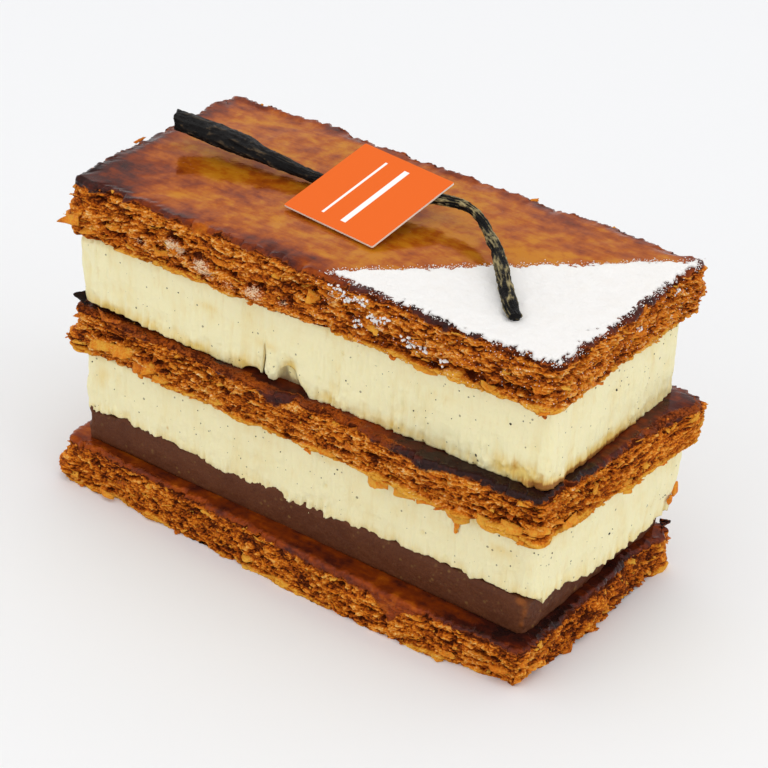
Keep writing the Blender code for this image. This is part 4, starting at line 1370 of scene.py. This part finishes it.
# The larger flakes: where each is rooted, which way it points, its length, how far it stands out,
# how far its edge rises, how far it slopes along its length and its tone from burnt to pale.
LARGE_FLAKES = (
    (-53.6, -23.6, 59.6, 212, 8, 4.6, -2.2, -1.9, 0.68), (-50, -24, 57.4, 255, 5, 1.6, -1, -1, 0.78),
    (-53.2, -22.8, 56.8, 222, 3.4, 2, -0.4, 0.4, 0.85),
    (3.2, -24.2, 62.4, 268, 2.6, 1.5, -1.6, 0.3, 0.76), (35.3, -24.6, 61.6, 270, 4, 0.9, -1.1, 0.2, 0.6),
    (27.5, -24.6, 56.8, 270, 6, 1.1, -0.8, 0.5, 0.84), (42, -24.8, 58.4, 270, 5, 1.2, -0.7, 0.3, 0.78),
    (-6.5, -24.4, 58.6, 270, 3.4, 1, -0.7, -0.4, 0.74), (-32, -24.2, 58.6, 270, 4, 1, -0.6, 0.6, 0.78),
    (-43.5, -24.2, 59.8, 270, 3.4, 1, -0.5, -0.5, 0.68),
    (14.8, -24.6, 60.6, 270, 2.8, 0.9, 0.2, 0.2, 0.62), (-18, -24.4, 61.6, 270, 3.4, 0.9, -0.5, 0.3, 0.6),
    (52, -25, 61.6, 300, 3, 0.8, -0.5, 0.2, 0.6), (54.6, -14, 60, 0, 3.4, 0.9, -0.5, -0.3, 0.72),
    (54.6, 2, 62, 0, 4, 0.9, -0.6, 0.3, 0.62), (54.6, 14, 60.4, 0, 3, 1, -0.4, 0.2, 0.78),
    (-53.2, -22.2, 40, 205, 4.4, 2.2, 0.9, 0.5, -0.1), (-53, -21, 38.8, 190, 3.4, 1.8, 0.3, 0.2, 0),
    (-52.8, -22.8, 36.9, 222, 3.4, 2.2, 0.2, 0.4, 0.4),
    (-52.6, -23, 32.4, 225, 4.6, 3.2, -0.8, 0.2, 0.86),
    (-47.2, -23.8, 33.6, 265, 6.4, 1.4, -1.5, -0.9, 0.84), (-42, -24, 34.2, 268, 5.6, 1.3, -1.9, -1, 0.7),
    (-36.4, -24, 32.8, 268, 5.6, 1.4, -1.9, -1.2, 0.62),
    (-32.2, -24, 31.4, 270, 4, 1.1, -1.1, -0.8, 0.72), (-38, -24, 38.4, 270, 5, 0.8, -0.4, -1.4, 0.1),
    (-44.5, -23.8, 39.2, 268, 5, 0.7, -0.5, -1.2, 0.26), (-18, -24.2, 32.2, 270, 4, 1, -0.8, -0.3, 0.74),
    (8, -24.8, 31.6, 270, 4, 0.9, -0.6, 0.2, 0.7), (13.6, -24.8, 34.8, 270, 3.4, 0.9, -0.6, 0.1, 0.52),
    (19.6, -25, 30.2, 270, 4.4, 1.2, -1.4, -0.3, 0.84), (25.4, -25, 30.8, 270, 4.6, 1.3, -1.5, 0.3, 0.88),
    (30, -25, 31, 270, 3.6, 1.1, -1.2, -0.4, 0.78), (37, -25.2, 31.2, 270, 5, 1.4, -1.6, 0.2, 0.84),
    (43.4, -25.4, 32.2, 270, 4.6, 1.4, -1.3, 0.5, 0.86),
    (48.6, -25.4, 33.4, 276, 4.6, 1.4, -1.2, 0.2, 0.8),
    (53.2, -24.4, 34.2, 298, 4.4, 1.5, -1.1, 0.3, 0.78), (55.4, -17, 33.2, 2, 4.6, 1, -1, -0.5, 0.76),
    (56.2, 1.8, 32.2, 2, 3.6, 1.2, -1.2, 0.5, 0.82), (57, 12, 31.8, 4, 3.4, 0.8, -0.6, 0.2, 0.66),
    (57.6, 22, 36, 30, 3, 0.8, -0.6, 0.2, 0.76), (-53.4, -25.2, 2.8, 230, 4.6, 1.5, -0.9, 0.3, 0.82),
    (-44, -26.6, 1.6, 268, 4, 0.9, -0.6, 0.3, 0.78), (-8, -27, 2.4, 270, 2.6, 1.2, -0.8, -0.3, 0.95),
    (38, -27.2, 2, 270, 4, 0.9, -0.7, 0.2, 0.76), (49, -26.4, 3.4, 280, 4, 1, -0.8, 0.2, 0.52),
    (52.6, 24.6, 9, 40, 3, 1.6, 0.8, 0.3, 0), (-54.6, -24.4, 6.4, 215, 3, 0.9, -0.5, 0.2, 0.58),
    (53.6, -22, 3.4, 350, 2.6, 1, -0.7, 0.3, 0.66))


def large_flake_mesh():
    """The larger flakes and tongues of pastry, each bent and ragged in its own way."""
    flakes = np.array(LARGE_FLAKES)
    bm = bmesh.new()
    bmesh.ops.create_grid(bm, x_segments=12, y_segments=6, size=0.5)
    mesh, flat = fixed_count("large_flakes", bm, len(flakes))
    u, v = flat[..., 0], flat[..., 1] + 0.5
    out, along = headings(flakes[:, 3])
    length, reach, rise, slope = (flakes[:, column, None] * MM for column in (4, 5, 6, 7))
    # Each flake has its own noise, from a place of its own.
    drawn = flat * (length / MM)[..., None] + np.arange(len(flakes))[:, None, None] * 40.0
    edge = 1.0 + 0.75 * rough(drawn * (1.0, 0.0, 0.0) + drawn[:, :1] * (0.0, 1.0, 1.0), 1.1, 601)
    chance = np.random.default_rng(77)
    lean = chance.uniform(-0.6, 0.6, (len(flakes), 1))
    fullness = chance.uniform(1.1, 3.0, (len(flakes), 1))
    off_peak = 2.0 * u - lean
    aside = np.where(off_peak > 0.0, off_peak / (1.0 - lean), -off_peak / (1.0 + lean))
    outline = (1.0 - np.clip(aside, 0.0, 1.0) ** fullness) * edge
    stand = reach * (v * outline - 0.35)
    wave = 0.32 * MM * rough(drawn, 1.3, 602) + 0.16 * MM * rough(drawn, 0.5, 603)
    height = rise * v ** 1.6 - slope * u + wave
    shaped = (flakes[:, None, :3] * MM + along[:, None] * (u * length)[..., None]
              + out[:, None] * stand[..., None])
    shaped[..., 2] = np.maximum(shaped[..., 2] + height, 0.2 * MM)
    mesh.vertices.foreach_set("co", shaped.ravel())
    tones = flakes[:, 8, None] + 0.12 * rough(drawn, 1.8, 604)
    return thicken(mesh, 0.14 * MM, tones)


def crumb_mesh(sizes):
    """Crumbs on the pastry's sides."""
    chance = np.random.default_rng(83)
    homes = []
    for name in BAKED_PIECES:
        places, normals, glazed = surface_of(name, "glazed")
        side = np.flatnonzero((glazed < 0.7) & (normals[:, 2] > -0.5))
        chosen = chance.choice(side, sizes.crumb_count // 3)
        homes.append(np.concatenate((places[chosen], normals[chosen]), axis=1))
    homes = np.vstack(homes)
    size = chance.uniform(0.10, 0.34, (len(homes), 1)) * MM
    half_sizes = size * chance.uniform(0.7, 1.3, (len(homes), 3))
    homes[:, 2] = np.maximum(homes[:, 2], half_sizes.max(axis=1) * 1.3)
    tones = chance.uniform(0.35, 0.95, len(homes))
    return strew("crumbs", homes[:, :3], homes[:, 3:], half_sizes, 5, tones=tones)


# Clumps of icing sugar that fell on the side and on the glaze, and how large each is.
SUGAR_CLUMPS = (
    (13.8, -25.2, 60.6, 0.8), (17.6, -25.2, 62.5, 1), (19.4, -25.2, 63.2, 0.7), (24.6, -25.2, 60.5, 1.2),
    (26.9, -25.2, 60.4, 0.9), (32, -25.4, 59.4, 0.7), (11, -25.2, 64.2, 1), (14.2, -25.2, 64.8, 1.1),
    (8.6, -24.8, 65.4, 0.9), (54.4, 2, 62.6, 0.7), (54.4, 15, 65, 0.6))
# Places tried for the loose grains, of which those near the border are kept.
GRAIN_TRIES = 60000


def grain_mesh(sizes):
    """Loose grains of sugar round the dusted corner, on the glaze and on the pastry's side."""
    chance = np.random.default_rng(97)
    tries = np.column_stack((chance.uniform(4.0, 55.5, GRAIN_TRIES),
                             chance.uniform(-25.5, 25.0, GRAIN_TRIES), np.zeros(GRAIN_TRIES))) * MM
    cover = sugar_cover(tries)
    near = np.exp(-((cover - 0.1 * MM) / (0.7 * MM)) ** 2)
    tries = tries[(chance.random(GRAIN_TRIES) < near) & (cover < 0.8 * MM)]
    flat = tries[:int(sizes.grain_count * 0.6)]
    size_flat = chance.uniform(0.04, 0.14, len(flat)) * MM
    flat[:, 2] = glaze_height(flat) + 0.4 * size_flat
    places, normals, glazed = surface_of("baked_top", "glazed")
    fall = (places[:, 0] > 2.0 * MM) & (normals[:, 2] > -0.2) & (glazed < 0.9)
    fall &= (places[:, 1] < -20.0 * MM) | (places[:, 0] > 50.0 * MM)
    chosen = chance.choice(np.flatnonzero(fall), int(sizes.grain_count * 0.25))
    size_side = chance.uniform(0.04, 0.12, len(chosen)) * MM
    clumped = []
    for x, y, z, size in SUGAR_CLUMPS:
        for grain in range(int(34 * size)):
            away = chance.normal(0.0, 0.5 * size, 2)
            turn = (away[0], 0.0) if y < -20.0 else (0.0, away[0])
            aim_at = np.array((x + 1.5 * turn[0], y + 1.5 * turn[1], z + 0.6 * away[1])) * MM
            clumped.append(np.argmin(np.sum((places - aim_at) ** 2, axis=1)))
    heaps = places[clumped] + chance.normal(0.0, 0.12 * MM, (len(clumped), 3))
    size_clump = chance.uniform(0.12, 0.34, len(clumped)) * MM
    size = np.concatenate((size_flat, size_side, size_clump))
    upright = np.repeat(((0.0, 0.0, 1.0),), len(flat), axis=0)
    return strew("sugar_grains", np.vstack((flat, places[chosen], heaps)),
                 np.vstack((upright, normals[chosen], normals[clumped])),
                 size[:, None] * (1.0, 0.9, 0.7), 6)


# Seeds and specks that stand out: X and Z on the front of a cream, or Y and Z on its right side,
# and the half size, in millimetres.
FRONT_SEEDS = {
    "cut_cream_upper": (
        (-39.4, 43.1, 0.22), (-36.7, 44.3, 0.15), (-28.9, 50.3, 0.2), (-11.6, 48, 0.18), (9.9, 46.3, 0.2),
        (24.7, 45.6, 0.22), (27.2, 46.4, 0.18), (27.3, 45.2, 0.16), (29.3, 49.9, 0.18),
        (32.9, 47.3, 0.16), (34.1, 53.4, 0.18), (37.1, 53.4, 0.18), (44.7, 51, 0.3), (47.2, 52.6, 0.2),
        (38.5, 42, 0.36), (38.9, 41.4, 0.26)),
    "cut_cream_lower": (
        (-50.7, 27.2, 0.22), (-44.9, 23.1, 0.16), (-24.5, 21, 0.18), (-23.3, 23.8, 0.18),
        (-10.1, 26.2, 0.2), (9, 27, 0.22), (8.4, 25.9, 0.18), (5.3, 23.7, 0.16), (2.3, 27.5, 0.18),
        (33.4, 29.1, 0.22), (44.4, 27.7, 0.24), (52.7, 30.7, 0.16), (52, 27.4, 0.18), (47.2, 22.5, 0.2)),
}
RIGHT_SEEDS = {
    "cut_cream_upper": (
        (-8.5, 55, 0.22), (-0.4, 50.7, 0.34), (1, 51.9, 0.18), (2.7, 52.1, 0.16), (15.9, 55.8, 0.2),
        (14.5, 53.9, 0.16), (12, 52.5, 0.16), (17.5, 54.9, 0.14)),
    "cut_cream_lower": (
        (0.1, 20.7, 0.3), (-12.2, 20.9, 0.2), (-18.2, 25.6, 0.22), (19.3, 19.5, 0.22), (1.2, 21.2, 0.18)),
}


def seed_mesh(sizes):
    """Vanilla seeds that show in the creams."""
    chance = np.random.default_rng(113)
    homes = []
    own_sizes = []
    for name in ("cut_cream_lower", "cut_cream_upper"):
        places, normals, rise = surface_of(name, "rise")
        side = np.flatnonzero((rise > 0.04) & (rise < 0.97) & (np.abs(normals[:, 2]) < 0.7))
        chosen = list(chance.choice(side, sizes.seed_count // 2))
        own_sizes += [0.0] * len(chosen)
        for seeds, axis, facing in ((FRONT_SEEDS, 0, normals[:, 1] < -0.6),
                                    (RIGHT_SEEDS, 1, normals[:, 0] > 0.6)):
            turned = np.flatnonzero(facing)
            for across, height, size in seeds[name]:
                away = ((places[turned, axis] - across * MM) ** 2
                        + (places[turned, 2] - height * MM) ** 2)
                chosen.append(turned[np.argmin(away)])
                own_sizes.append(size * MM)
        homes.append(np.concatenate((places[chosen], normals[chosen]), axis=1))
    homes = np.vstack(homes)
    size = chance.choice((0.06, 0.09, 0.12, 0.17), len(homes), p=(0.4, 0.33, 0.2, 0.07)) * MM
    size = np.where(np.array(own_sizes) > 0.0, own_sizes, size)
    return strew("vanilla_seeds", homes[:, :3], homes[:, 3:], size[:, None] * (1.0, 0.8, 0.5), 7,
                 jitter=0.2)


# Bits of caramelised pastry that stick to the creams: place, which way they face, half sizes.
STUCK_BITS = (
    (35.8, -22.8, 26.4, 270, 0.55, 1), (35.6, -22.8, 25.2, 270, 0.45, 0.7),
    (55, 22.6, 19.4, 350, 0.8, 1.6), (54.8, 21.4, 17.4, 350, 0.7, 1), (42, -22.8, 30.6, 270, 0.5, 0.3),
    (-52.6, -18, 20.6, 190, 0.5, 0.4))


def stuck_bit_mesh():
    """Orange bits of pastry on the sides of the creams."""
    bits = np.array(STUCK_BITS)
    out, along = headings(bits[:, 3])
    half = np.column_stack((bits[:, 4] * 0.5, bits[:, 4], bits[:, 5])) * MM
    bm = bmesh.new()
    bmesh.ops.create_icosphere(bm, subdivisions=3, radius=1.0)
    mesh, flat = fixed_count("stuck_bits", bm, len(bits))
    shifted = flat * 1.3 + np.arange(len(bits))[:, None, None] * 30.0
    swollen = flat * (1.0 + 0.35 * rough(shifted, 0.9, 611))[..., None] * half[:, None]
    shaped = (bits[:, None, :3] * MM + out[:, None] * swollen[..., :1]
              + along[:, None] * swollen[..., 1:2])
    shaped[..., 2] += swollen[..., 2]
    mesh.vertices.foreach_set("co", shaped.ravel())
    set_mark(mesh, "tone", np.full(len(mesh.vertices), 0.66))
    mesh.shade_smooth()
    return mesh


# ---------------------------------------------------------------- pod and card

# The pod's middle line from its torn end, then its width and its thickness, in mm.
POD_ROUTE = (
    (-47.4, -1.1, 72.3, 5.8, 2.6), (-41.8, 0.8, 71.2, 6.6, 2.8), (-36, 1.7, 70.4, 6.2, 2.8),
    (-32.5, 2, 70, 6, 2.7), (-30, 2.2, 69.7, 5.2, 2.5), (-28, 2.3, 69.4, 4.2, 2.3),
    (-24.4, 2.5, 69, 3.7, 2.1), (-20, 2.8, 68.5, 3.2, 1.9), (-16.5, 2.9, 68.3, 2.6, 1.7),
    (-13, 3, 68.3, 2.1, 1.6), (-3, 4.4, 69.3, 2.4, 1.7), (8, 6.8, 70.8, 2.6, 1.8),
    (13.6, 7.2, 71.3, 2.2, 1.8), (17.4, 5.8, 71.2, 1.6, 1.6), (21.2, 3, 70.8, 1.8, 1.6),
    (26, -1.2, 70.2, 2.3, 1.8), (30.8, -6.2, 69.4, 2.6, 1.8), (34.8, -10.8, 68.8, 2.6, 1.8),
    (38.4, -14.9, 68.3, 2.6, 1.8), (40.6, -16.8, 68, 2.2, 1.5))
POD_SIDES = 56
POD_ROWS = 340
POD_SMOOTHINGS = 60


def pod_route():
    """The pod's middle line, width and thickness at even steps, on a smooth curve."""
    points = np.array(POD_ROUTE) * MM
    lengths = np.linalg.norm(np.diff(points[:, :3], axis=0), axis=1)
    steps = np.concatenate(([0.0], np.cumsum(lengths)))
    at = np.linspace(0.0, steps[-1], POD_ROWS)
    route = np.column_stack([np.interp(at, steps, points[:, axis]) for axis in range(5)])
    # Even out the corners of the straight pieces.
    for turn in range(POD_SMOOTHINGS):
        route[1:-1] = 0.5 * route[1:-1] + 0.25 * (route[:-2] + route[2:])
    return route


def pod_rings():
    """The pod's skin: a flat strap with ridges along it that narrows to a wrinkled stalk."""
    route = pod_route()
    ahead = unit(np.gradient(route[:, :3], axis=0))
    across = unit(sideways(ahead * (1.0, 1.0, 0.0)))
    over = np.cross(ahead, across)
    turn = np.linspace(0.0, math.tau, POD_SIDES, endpoint=False)
    way = np.linspace(0.0, 1.0, POD_ROWS)[:, None]
    stalk = ease(way, 0.30, 0.45)
    drift = 0.35 * np.sin(way * 17.0) + 6.0 * stalk * way
    around = np.stack((np.cos(turn[None] + drift) + 0.0 * way, np.sin(turn[None] + drift) + 0.0 * way,
                       way * 9.0 + 0.0 * turn[None]), axis=2)
    folds = 1.0 - np.abs(swells(around, 0.42, 501))
    creases = 1.0 - np.abs(swells(around * (1.0, 1.0, 1.5), 0.19, 502))
    ridges = 0.65 * folds + 0.35 * creases - 0.70
    radius = 0.5 + ridges * (0.22 + 0.10 * stalk)
    rings = (route[:, None, :3]
             + across[:, None] * (np.cos(turn)[None] * radius * route[:, 3:4])[..., None]
             + over[:, None] * (np.sin(turn)[None] * radius * route[:, 4:5])[..., None])
    wrinkle = rough(rings, 1.3 * MM, 505) * 0.16 * MM + rough(rings, 0.5 * MM, 506) * 0.07 * MM
    rings = rings + unit(rings - route[:, None, :3]) * wrinkle[..., None]
    # The torn end is ragged, and runs on furthest at its upper corner.
    torn = rough(rings * np.array((0.0, 1.0, 1.0)), 1.1 * MM, 507) * 0.5 * MM
    torn = torn + (0.6 * np.cos(turn)[None] + 0.5 * np.sin(turn)[None]) * MM
    rings = rings - ahead[:, None] * (np.exp(-way / 0.015) * torn)[..., None]
    # The ridge mark lightens the crests in the pod's finish: a painted highlight.
    marks = {"ridge": np.clip(0.5 + 1.6 * ridges, 0.0, 1.0),
             "stalk": stalk * np.ones((1, POD_SIDES))}
    return rings, marks


CARD_WIDTH = 22.2 * MM
CARD_LENGTH = 22.3 * MM
CARD_THICKNESS = 0.4 * MM
CARD_CORNER = 0.3 * MM
CARD_FRONT_LEFT = (-15.5 * MM, -8.6 * MM, 67.3 * MM)
CARD_YAW = math.radians(-7.0)
CARD_LEAN = math.radians(14.4)
# Two plain bars on the card: the middle of each from the left edge and its half width.
CARD_BARS = ((7.6 * MM, 0.28 * MM), (12.7 * MM, 0.62 * MM))
BAR_ENDS = (2.4 * MM, 19.9 * MM)


def card_mesh():
    """A square of card with rounded corners, printed above and bare at its edges."""
    bm = bmesh.new()
    bmesh.ops.create_grid(bm, x_segments=1, y_segments=1, size=0.5)
    size = Matrix.Diagonal((CARD_WIDTH, CARD_LENGTH, 1.0, 1.0))
    to_corner = Matrix.Translation((CARD_WIDTH / 2.0, CARD_LENGTH / 2.0, 0.0))
    bmesh.ops.transform(bm, matrix=to_corner @ size, verts=bm.verts)
    bmesh.ops.bevel(bm, geom=bm.verts[:], offset=CARD_CORNER, offset_type="OFFSET", segments=4,
                    profile=0.5, affect="VERTICES", material=-1)
    extruded = bmesh.ops.extrude_face_region(bm, geom=bm.faces[:], use_keep_orig=True)
    top = [item for item in extruded["geom"] if isinstance(item, bmesh.types.BMVert)]
    bmesh.ops.translate(bm, vec=(0.0, 0.0, CARD_THICKNESS), verts=top)
    bmesh.ops.recalc_face_normals(bm, faces=bm.faces)
    across = bm.verts.layers.float.new("across")
    along = bm.verts.layers.float.new("along")
    for vert in bm.verts:
        vert[across] = vert.co.x
        vert[along] = vert.co.y
    for face in bm.faces:
        face.material_index = 0 if face.normal.z > 0.5 else 1
    lean = Euler((CARD_LEAN, 0.0, 0.0)).to_matrix().to_4x4()
    yaw = Matrix.Rotation(CARD_YAW, 4, "Z")
    bmesh.ops.transform(bm, matrix=Matrix.Translation(CARD_FRONT_LEFT) @ yaw @ lean,
                        verts=bm.verts)
    return mesh_of("printed_card", bm)


# ---------------------------------------------------------------- operators

def place_shell(name, shell, finish, node, slot):
    """Roll the rings and marks of a shell into a piece that stands for a node."""
    rings, marks = shell
    place_piece(name, roll_shell(name, rings, marks), finish, node, slot)


class SLICE_OT_pastry_slabs(bpy.types.Operator):
    """Build the three slabs of puff pastry with their glaze"""
    bl_idname = "slice.pastry_slabs"
    bl_label = "Pastry slabs"

    def execute(self, context):
        for name, layer, bake, finish, slot in (
                ("baked_bottom", BOTTOM_SLAB, BOTTOM_BAKE, "bottom_crust", "baked_pastry"),
                ("baked_middle", MIDDLE_SLAB, MIDDLE_BAKE, "middle_crust", "baked_pastry"),
                ("baked_top", TOP_SLAB, TOP_BAKE, "top_crust", "caramelised_pastry")):
            place_shell(name, slab_rings(layer, bake, context.scene.slice_sizes),
                        crust_finish(finish, context.scene.slice_colours), layer.node, slot)
        return {"FINISHED"}


class SLICE_OT_creams(bpy.types.Operator):
    """Build the two vanilla creams"""
    bl_idname = "slice.creams"
    bl_label = "Vanilla creams"

    def execute(self, context):
        sizes = context.scene.slice_sizes
        finish = cream_finish("vanilla_cream_finish", context.scene.slice_colours)
        for name, layer, lift, relief, rows, stains in (
                ("cut_cream_lower", LOWER_CREAM, lower_cream_lift, drag_marks(sizes, 300), 52,
                 LOWER_STAINS),
                ("cut_cream_upper", UPPER_CREAM, upper_cream_lift, upper_cream_relief(sizes), 58,
                 UPPER_STAINS)):
            place_shell(name, cut_rings(layer, lift, level_edge, relief, rows, stains), finish,
                        layer.node, "vanilla_cream")
        return {"FINISHED"}


class SLICE_OT_praline(bpy.types.Operator):
    """Build the praline layer"""
    bl_idname = "slice.praline"
    bl_label = "Praline"

    def execute(self, context):
        shell = cut_rings(PRALINE_BAND, level_edge, praline_crest, praline_relief, 30,
                          PRALINE_STAINS)
        finish = praline_finish("praline_finish", context.scene.slice_colours)
        place_shell("cut_praline", shell, finish, PRALINE_BAND.node, "praline")
        return {"FINISHED"}


class SLICE_OT_crumbs(bpy.types.Operator):
    """Add the loose flakes and crumbs of the pastry"""
    bl_idname = "slice.crumbs"
    bl_label = "Flakes and crumbs"

    def execute(self, context):
        sizes = context.scene.slice_sizes
        finish = flake_finish("flake_finish", context.scene.slice_colours)
        place_piece("loose_flakes", flake_mesh(sizes), finish, slot="baked_pastry")
        place_piece("large_flakes", large_flake_mesh(), finish, slot="baked_pastry")
        place_piece("crumbs", crumb_mesh(sizes), finish, slot="baked_pastry")
        place_piece("stuck_bits", stuck_bit_mesh(), finish, slot="baked_pastry")
        return {"FINISHED"}


class SLICE_OT_icing_sugar(bpy.types.Operator):
    """Dust the corner with icing sugar"""
    bl_idname = "slice.icing_sugar"
    bl_label = "Icing sugar"

    def execute(self, context):
        sizes = context.scene.slice_sizes
        finish = sugar_finish("icing_sugar_finish", context.scene.slice_colours)
        place_piece("icing_sugar", sugar_mesh(sizes), finish)
        place_piece("sugar_grains", grain_mesh(sizes), finish)
        return {"FINISHED"}


class SLICE_OT_vanilla_seeds(bpy.types.Operator):
    """Add the vanilla seeds in the creams"""
    bl_idname = "slice.vanilla_seeds"
    bl_label = "Vanilla seeds"

    def execute(self, context):
        sizes = context.scene.slice_sizes
        place_piece("vanilla_seeds", seed_mesh(sizes), seed_finish("seed_finish"))
        return {"FINISHED"}


class SLICE_OT_vanilla_pod(bpy.types.Operator):
    """Build the dried vanilla pod"""
    bl_idname = "slice.vanilla_pod"
    bl_label = "Vanilla pod"

    def execute(self, context):
        finish = pod_finish("pod_finish", context.scene.slice_colours)
        place_shell("dried_pod", pod_rings(), finish, "vanilla_pod", "dried_pod")
        return {"FINISHED"}


class SLICE_OT_label_card(bpy.types.Operator):
    """Build the printed card"""
    bl_idname = "slice.label_card"
    bl_label = "Card"

    def execute(self, context):
        colours = context.scene.slice_colours
        card = place_piece("printed_card", card_mesh(), print_finish("card_print", colours),
                           "label_card", "card_stock")
        card.data.materials.append(paper_finish("card_paper", colours))
        return {"FINISHED"}


FLOOR_HALF_WIDTH = 6.0
LIGHT_TARGET = Vector((0.0, 0.0, 0.03))
CAMERA_PLACE = Vector((233.219, -337.462, 275.733)) * MM
CAMERA_RIGHT = Vector((0.80922351, 0.58567366, 0.04629992))
CAMERA_UP = Vector((-0.33243244, 0.39148966, 0.85803527))


def soft_light(name, place, size, power):
    """A large square light that shines at the slice."""
    lamp = bpy.data.lights.new(name, "AREA")
    lamp.size = size
    lamp.energy = power
    light = bpy.data.objects.new(name, lamp)
    bpy.context.scene.collection.objects.link(light)
    light.location = place
    light.rotation_euler = (LIGHT_TARGET - Vector(place)).to_track_quat("-Z", "Y").to_euler()


def studio_floor(colour):
    """The floor, which is stage and not a piece of the slice."""
    bm = bmesh.new()
    bmesh.ops.create_grid(bm, x_segments=8, y_segments=8, size=FLOOR_HALF_WIDTH)
    mesh = mesh_of("floor", bm)
    mesh.materials.append(floor_finish("floor_finish", colour))
    floor = bpy.data.objects.new("floor", mesh)
    bpy.context.scene.collection.objects.link(floor)
    floor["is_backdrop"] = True


def studio_sky(strength):
    """A plain white world."""
    world = bpy.data.worlds.new("studio")
    world.use_nodes = True
    backdrop = world.node_tree.nodes["Background"]
    backdrop.inputs["Color"].default_value = (1.0, 1.0, 1.0, 1.0)
    backdrop.inputs["Strength"].default_value = strength
    bpy.context.scene.world = world


def studio_camera(length):
    """The camera, with a lens of the given focal length in millimetres."""
    lens = bpy.data.cameras.new("camera")
    lens.lens = length
    lens.sensor_width = 36.0
    lens.clip_start = 0.01
    camera = bpy.data.objects.new("camera", lens)
    back = CAMERA_RIGHT.cross(CAMERA_UP)
    turn = Matrix((CAMERA_RIGHT, CAMERA_UP, back)).transposed().to_4x4()
    camera.matrix_world = Matrix.Translation(CAMERA_PLACE + DRAWING_ORIGIN) @ turn
    bpy.context.scene.collection.objects.link(camera)
    bpy.context.scene.camera = camera


class SLICE_OT_stage(bpy.types.Operator):
    """Set the floor, the lights and the camera"""
    bl_idname = "slice.stage"
    bl_label = "Stage"

    def execute(self, context):
        stage = context.scene.slice_stage
        studio_floor(stage.floor)
        soft_light("overhead", (0.10, -0.10, 1.20), 1.1, stage.key_power)
        soft_light("front_box", (-0.45, -1.25, 0.85), 1.1, stage.front_power)
        soft_light("right_box", (1.35, 0.15, 0.75), 1.0, stage.right_power)
        studio_sky(stage.sky_strength)
        studio_camera(stage.lens)
        context.scene.view_settings.view_transform = "Standard"
        return {"FINISHED"}


class SLICE_PT_panel(bpy.types.Panel):
    """The slice's sizes, colours and pieces"""
    bl_idname = "SLICE_PT_panel"
    bl_label = "Mille-feuille slice"
    bl_space_type = "VIEW_3D"
    bl_region_type = "UI"
    bl_category = "Slice"

    def draw(self, context):
        for group in (context.scene.slice_sizes, context.scene.slice_colours,
                      context.scene.slice_stage):
            box = self.layout.box()
            for name in group.__annotations__:
                box.prop(group, name)
        for operator in OPERATORS:
            self.layout.operator(operator.bl_idname)


OPERATORS = (SLICE_OT_pastry_slabs, SLICE_OT_creams, SLICE_OT_praline, SLICE_OT_crumbs,
             SLICE_OT_icing_sugar, SLICE_OT_vanilla_seeds, SLICE_OT_vanilla_pod,
             SLICE_OT_label_card, SLICE_OT_stage)
GROUPS = {"slice_sizes": SliceSizes, "slice_colours": SliceColours, "slice_stage": StageSettings}


def register():
    """Add the property groups, the operators and the panel."""
    for name, group in GROUPS.items():
        bpy.utils.register_class(group)
        setattr(bpy.types.Scene, name, PointerProperty(type=group))
    for entry in (*OPERATORS, SLICE_PT_panel):
        bpy.utils.register_class(entry)


def unregister():
    """Remove the panel, the operators and the property groups."""
    for entry in (SLICE_PT_panel, *reversed(OPERATORS)):
        bpy.utils.unregister_class(entry)
    for name, group in GROUPS.items():
        delattr(bpy.types.Scene, name)
        bpy.utils.unregister_class(group)


def main():
    """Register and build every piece."""
    register()
    for operator in OPERATORS:
        family, name = operator.bl_idname.split(".")
        getattr(getattr(bpy.ops, family), name)()
    boxes = {"cad": CAD_BOX, "visual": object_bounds()}
    rows = {key: [list(corner) for corner in box] for key, box in boxes.items()}


if __name__ == "__main__":
    main()
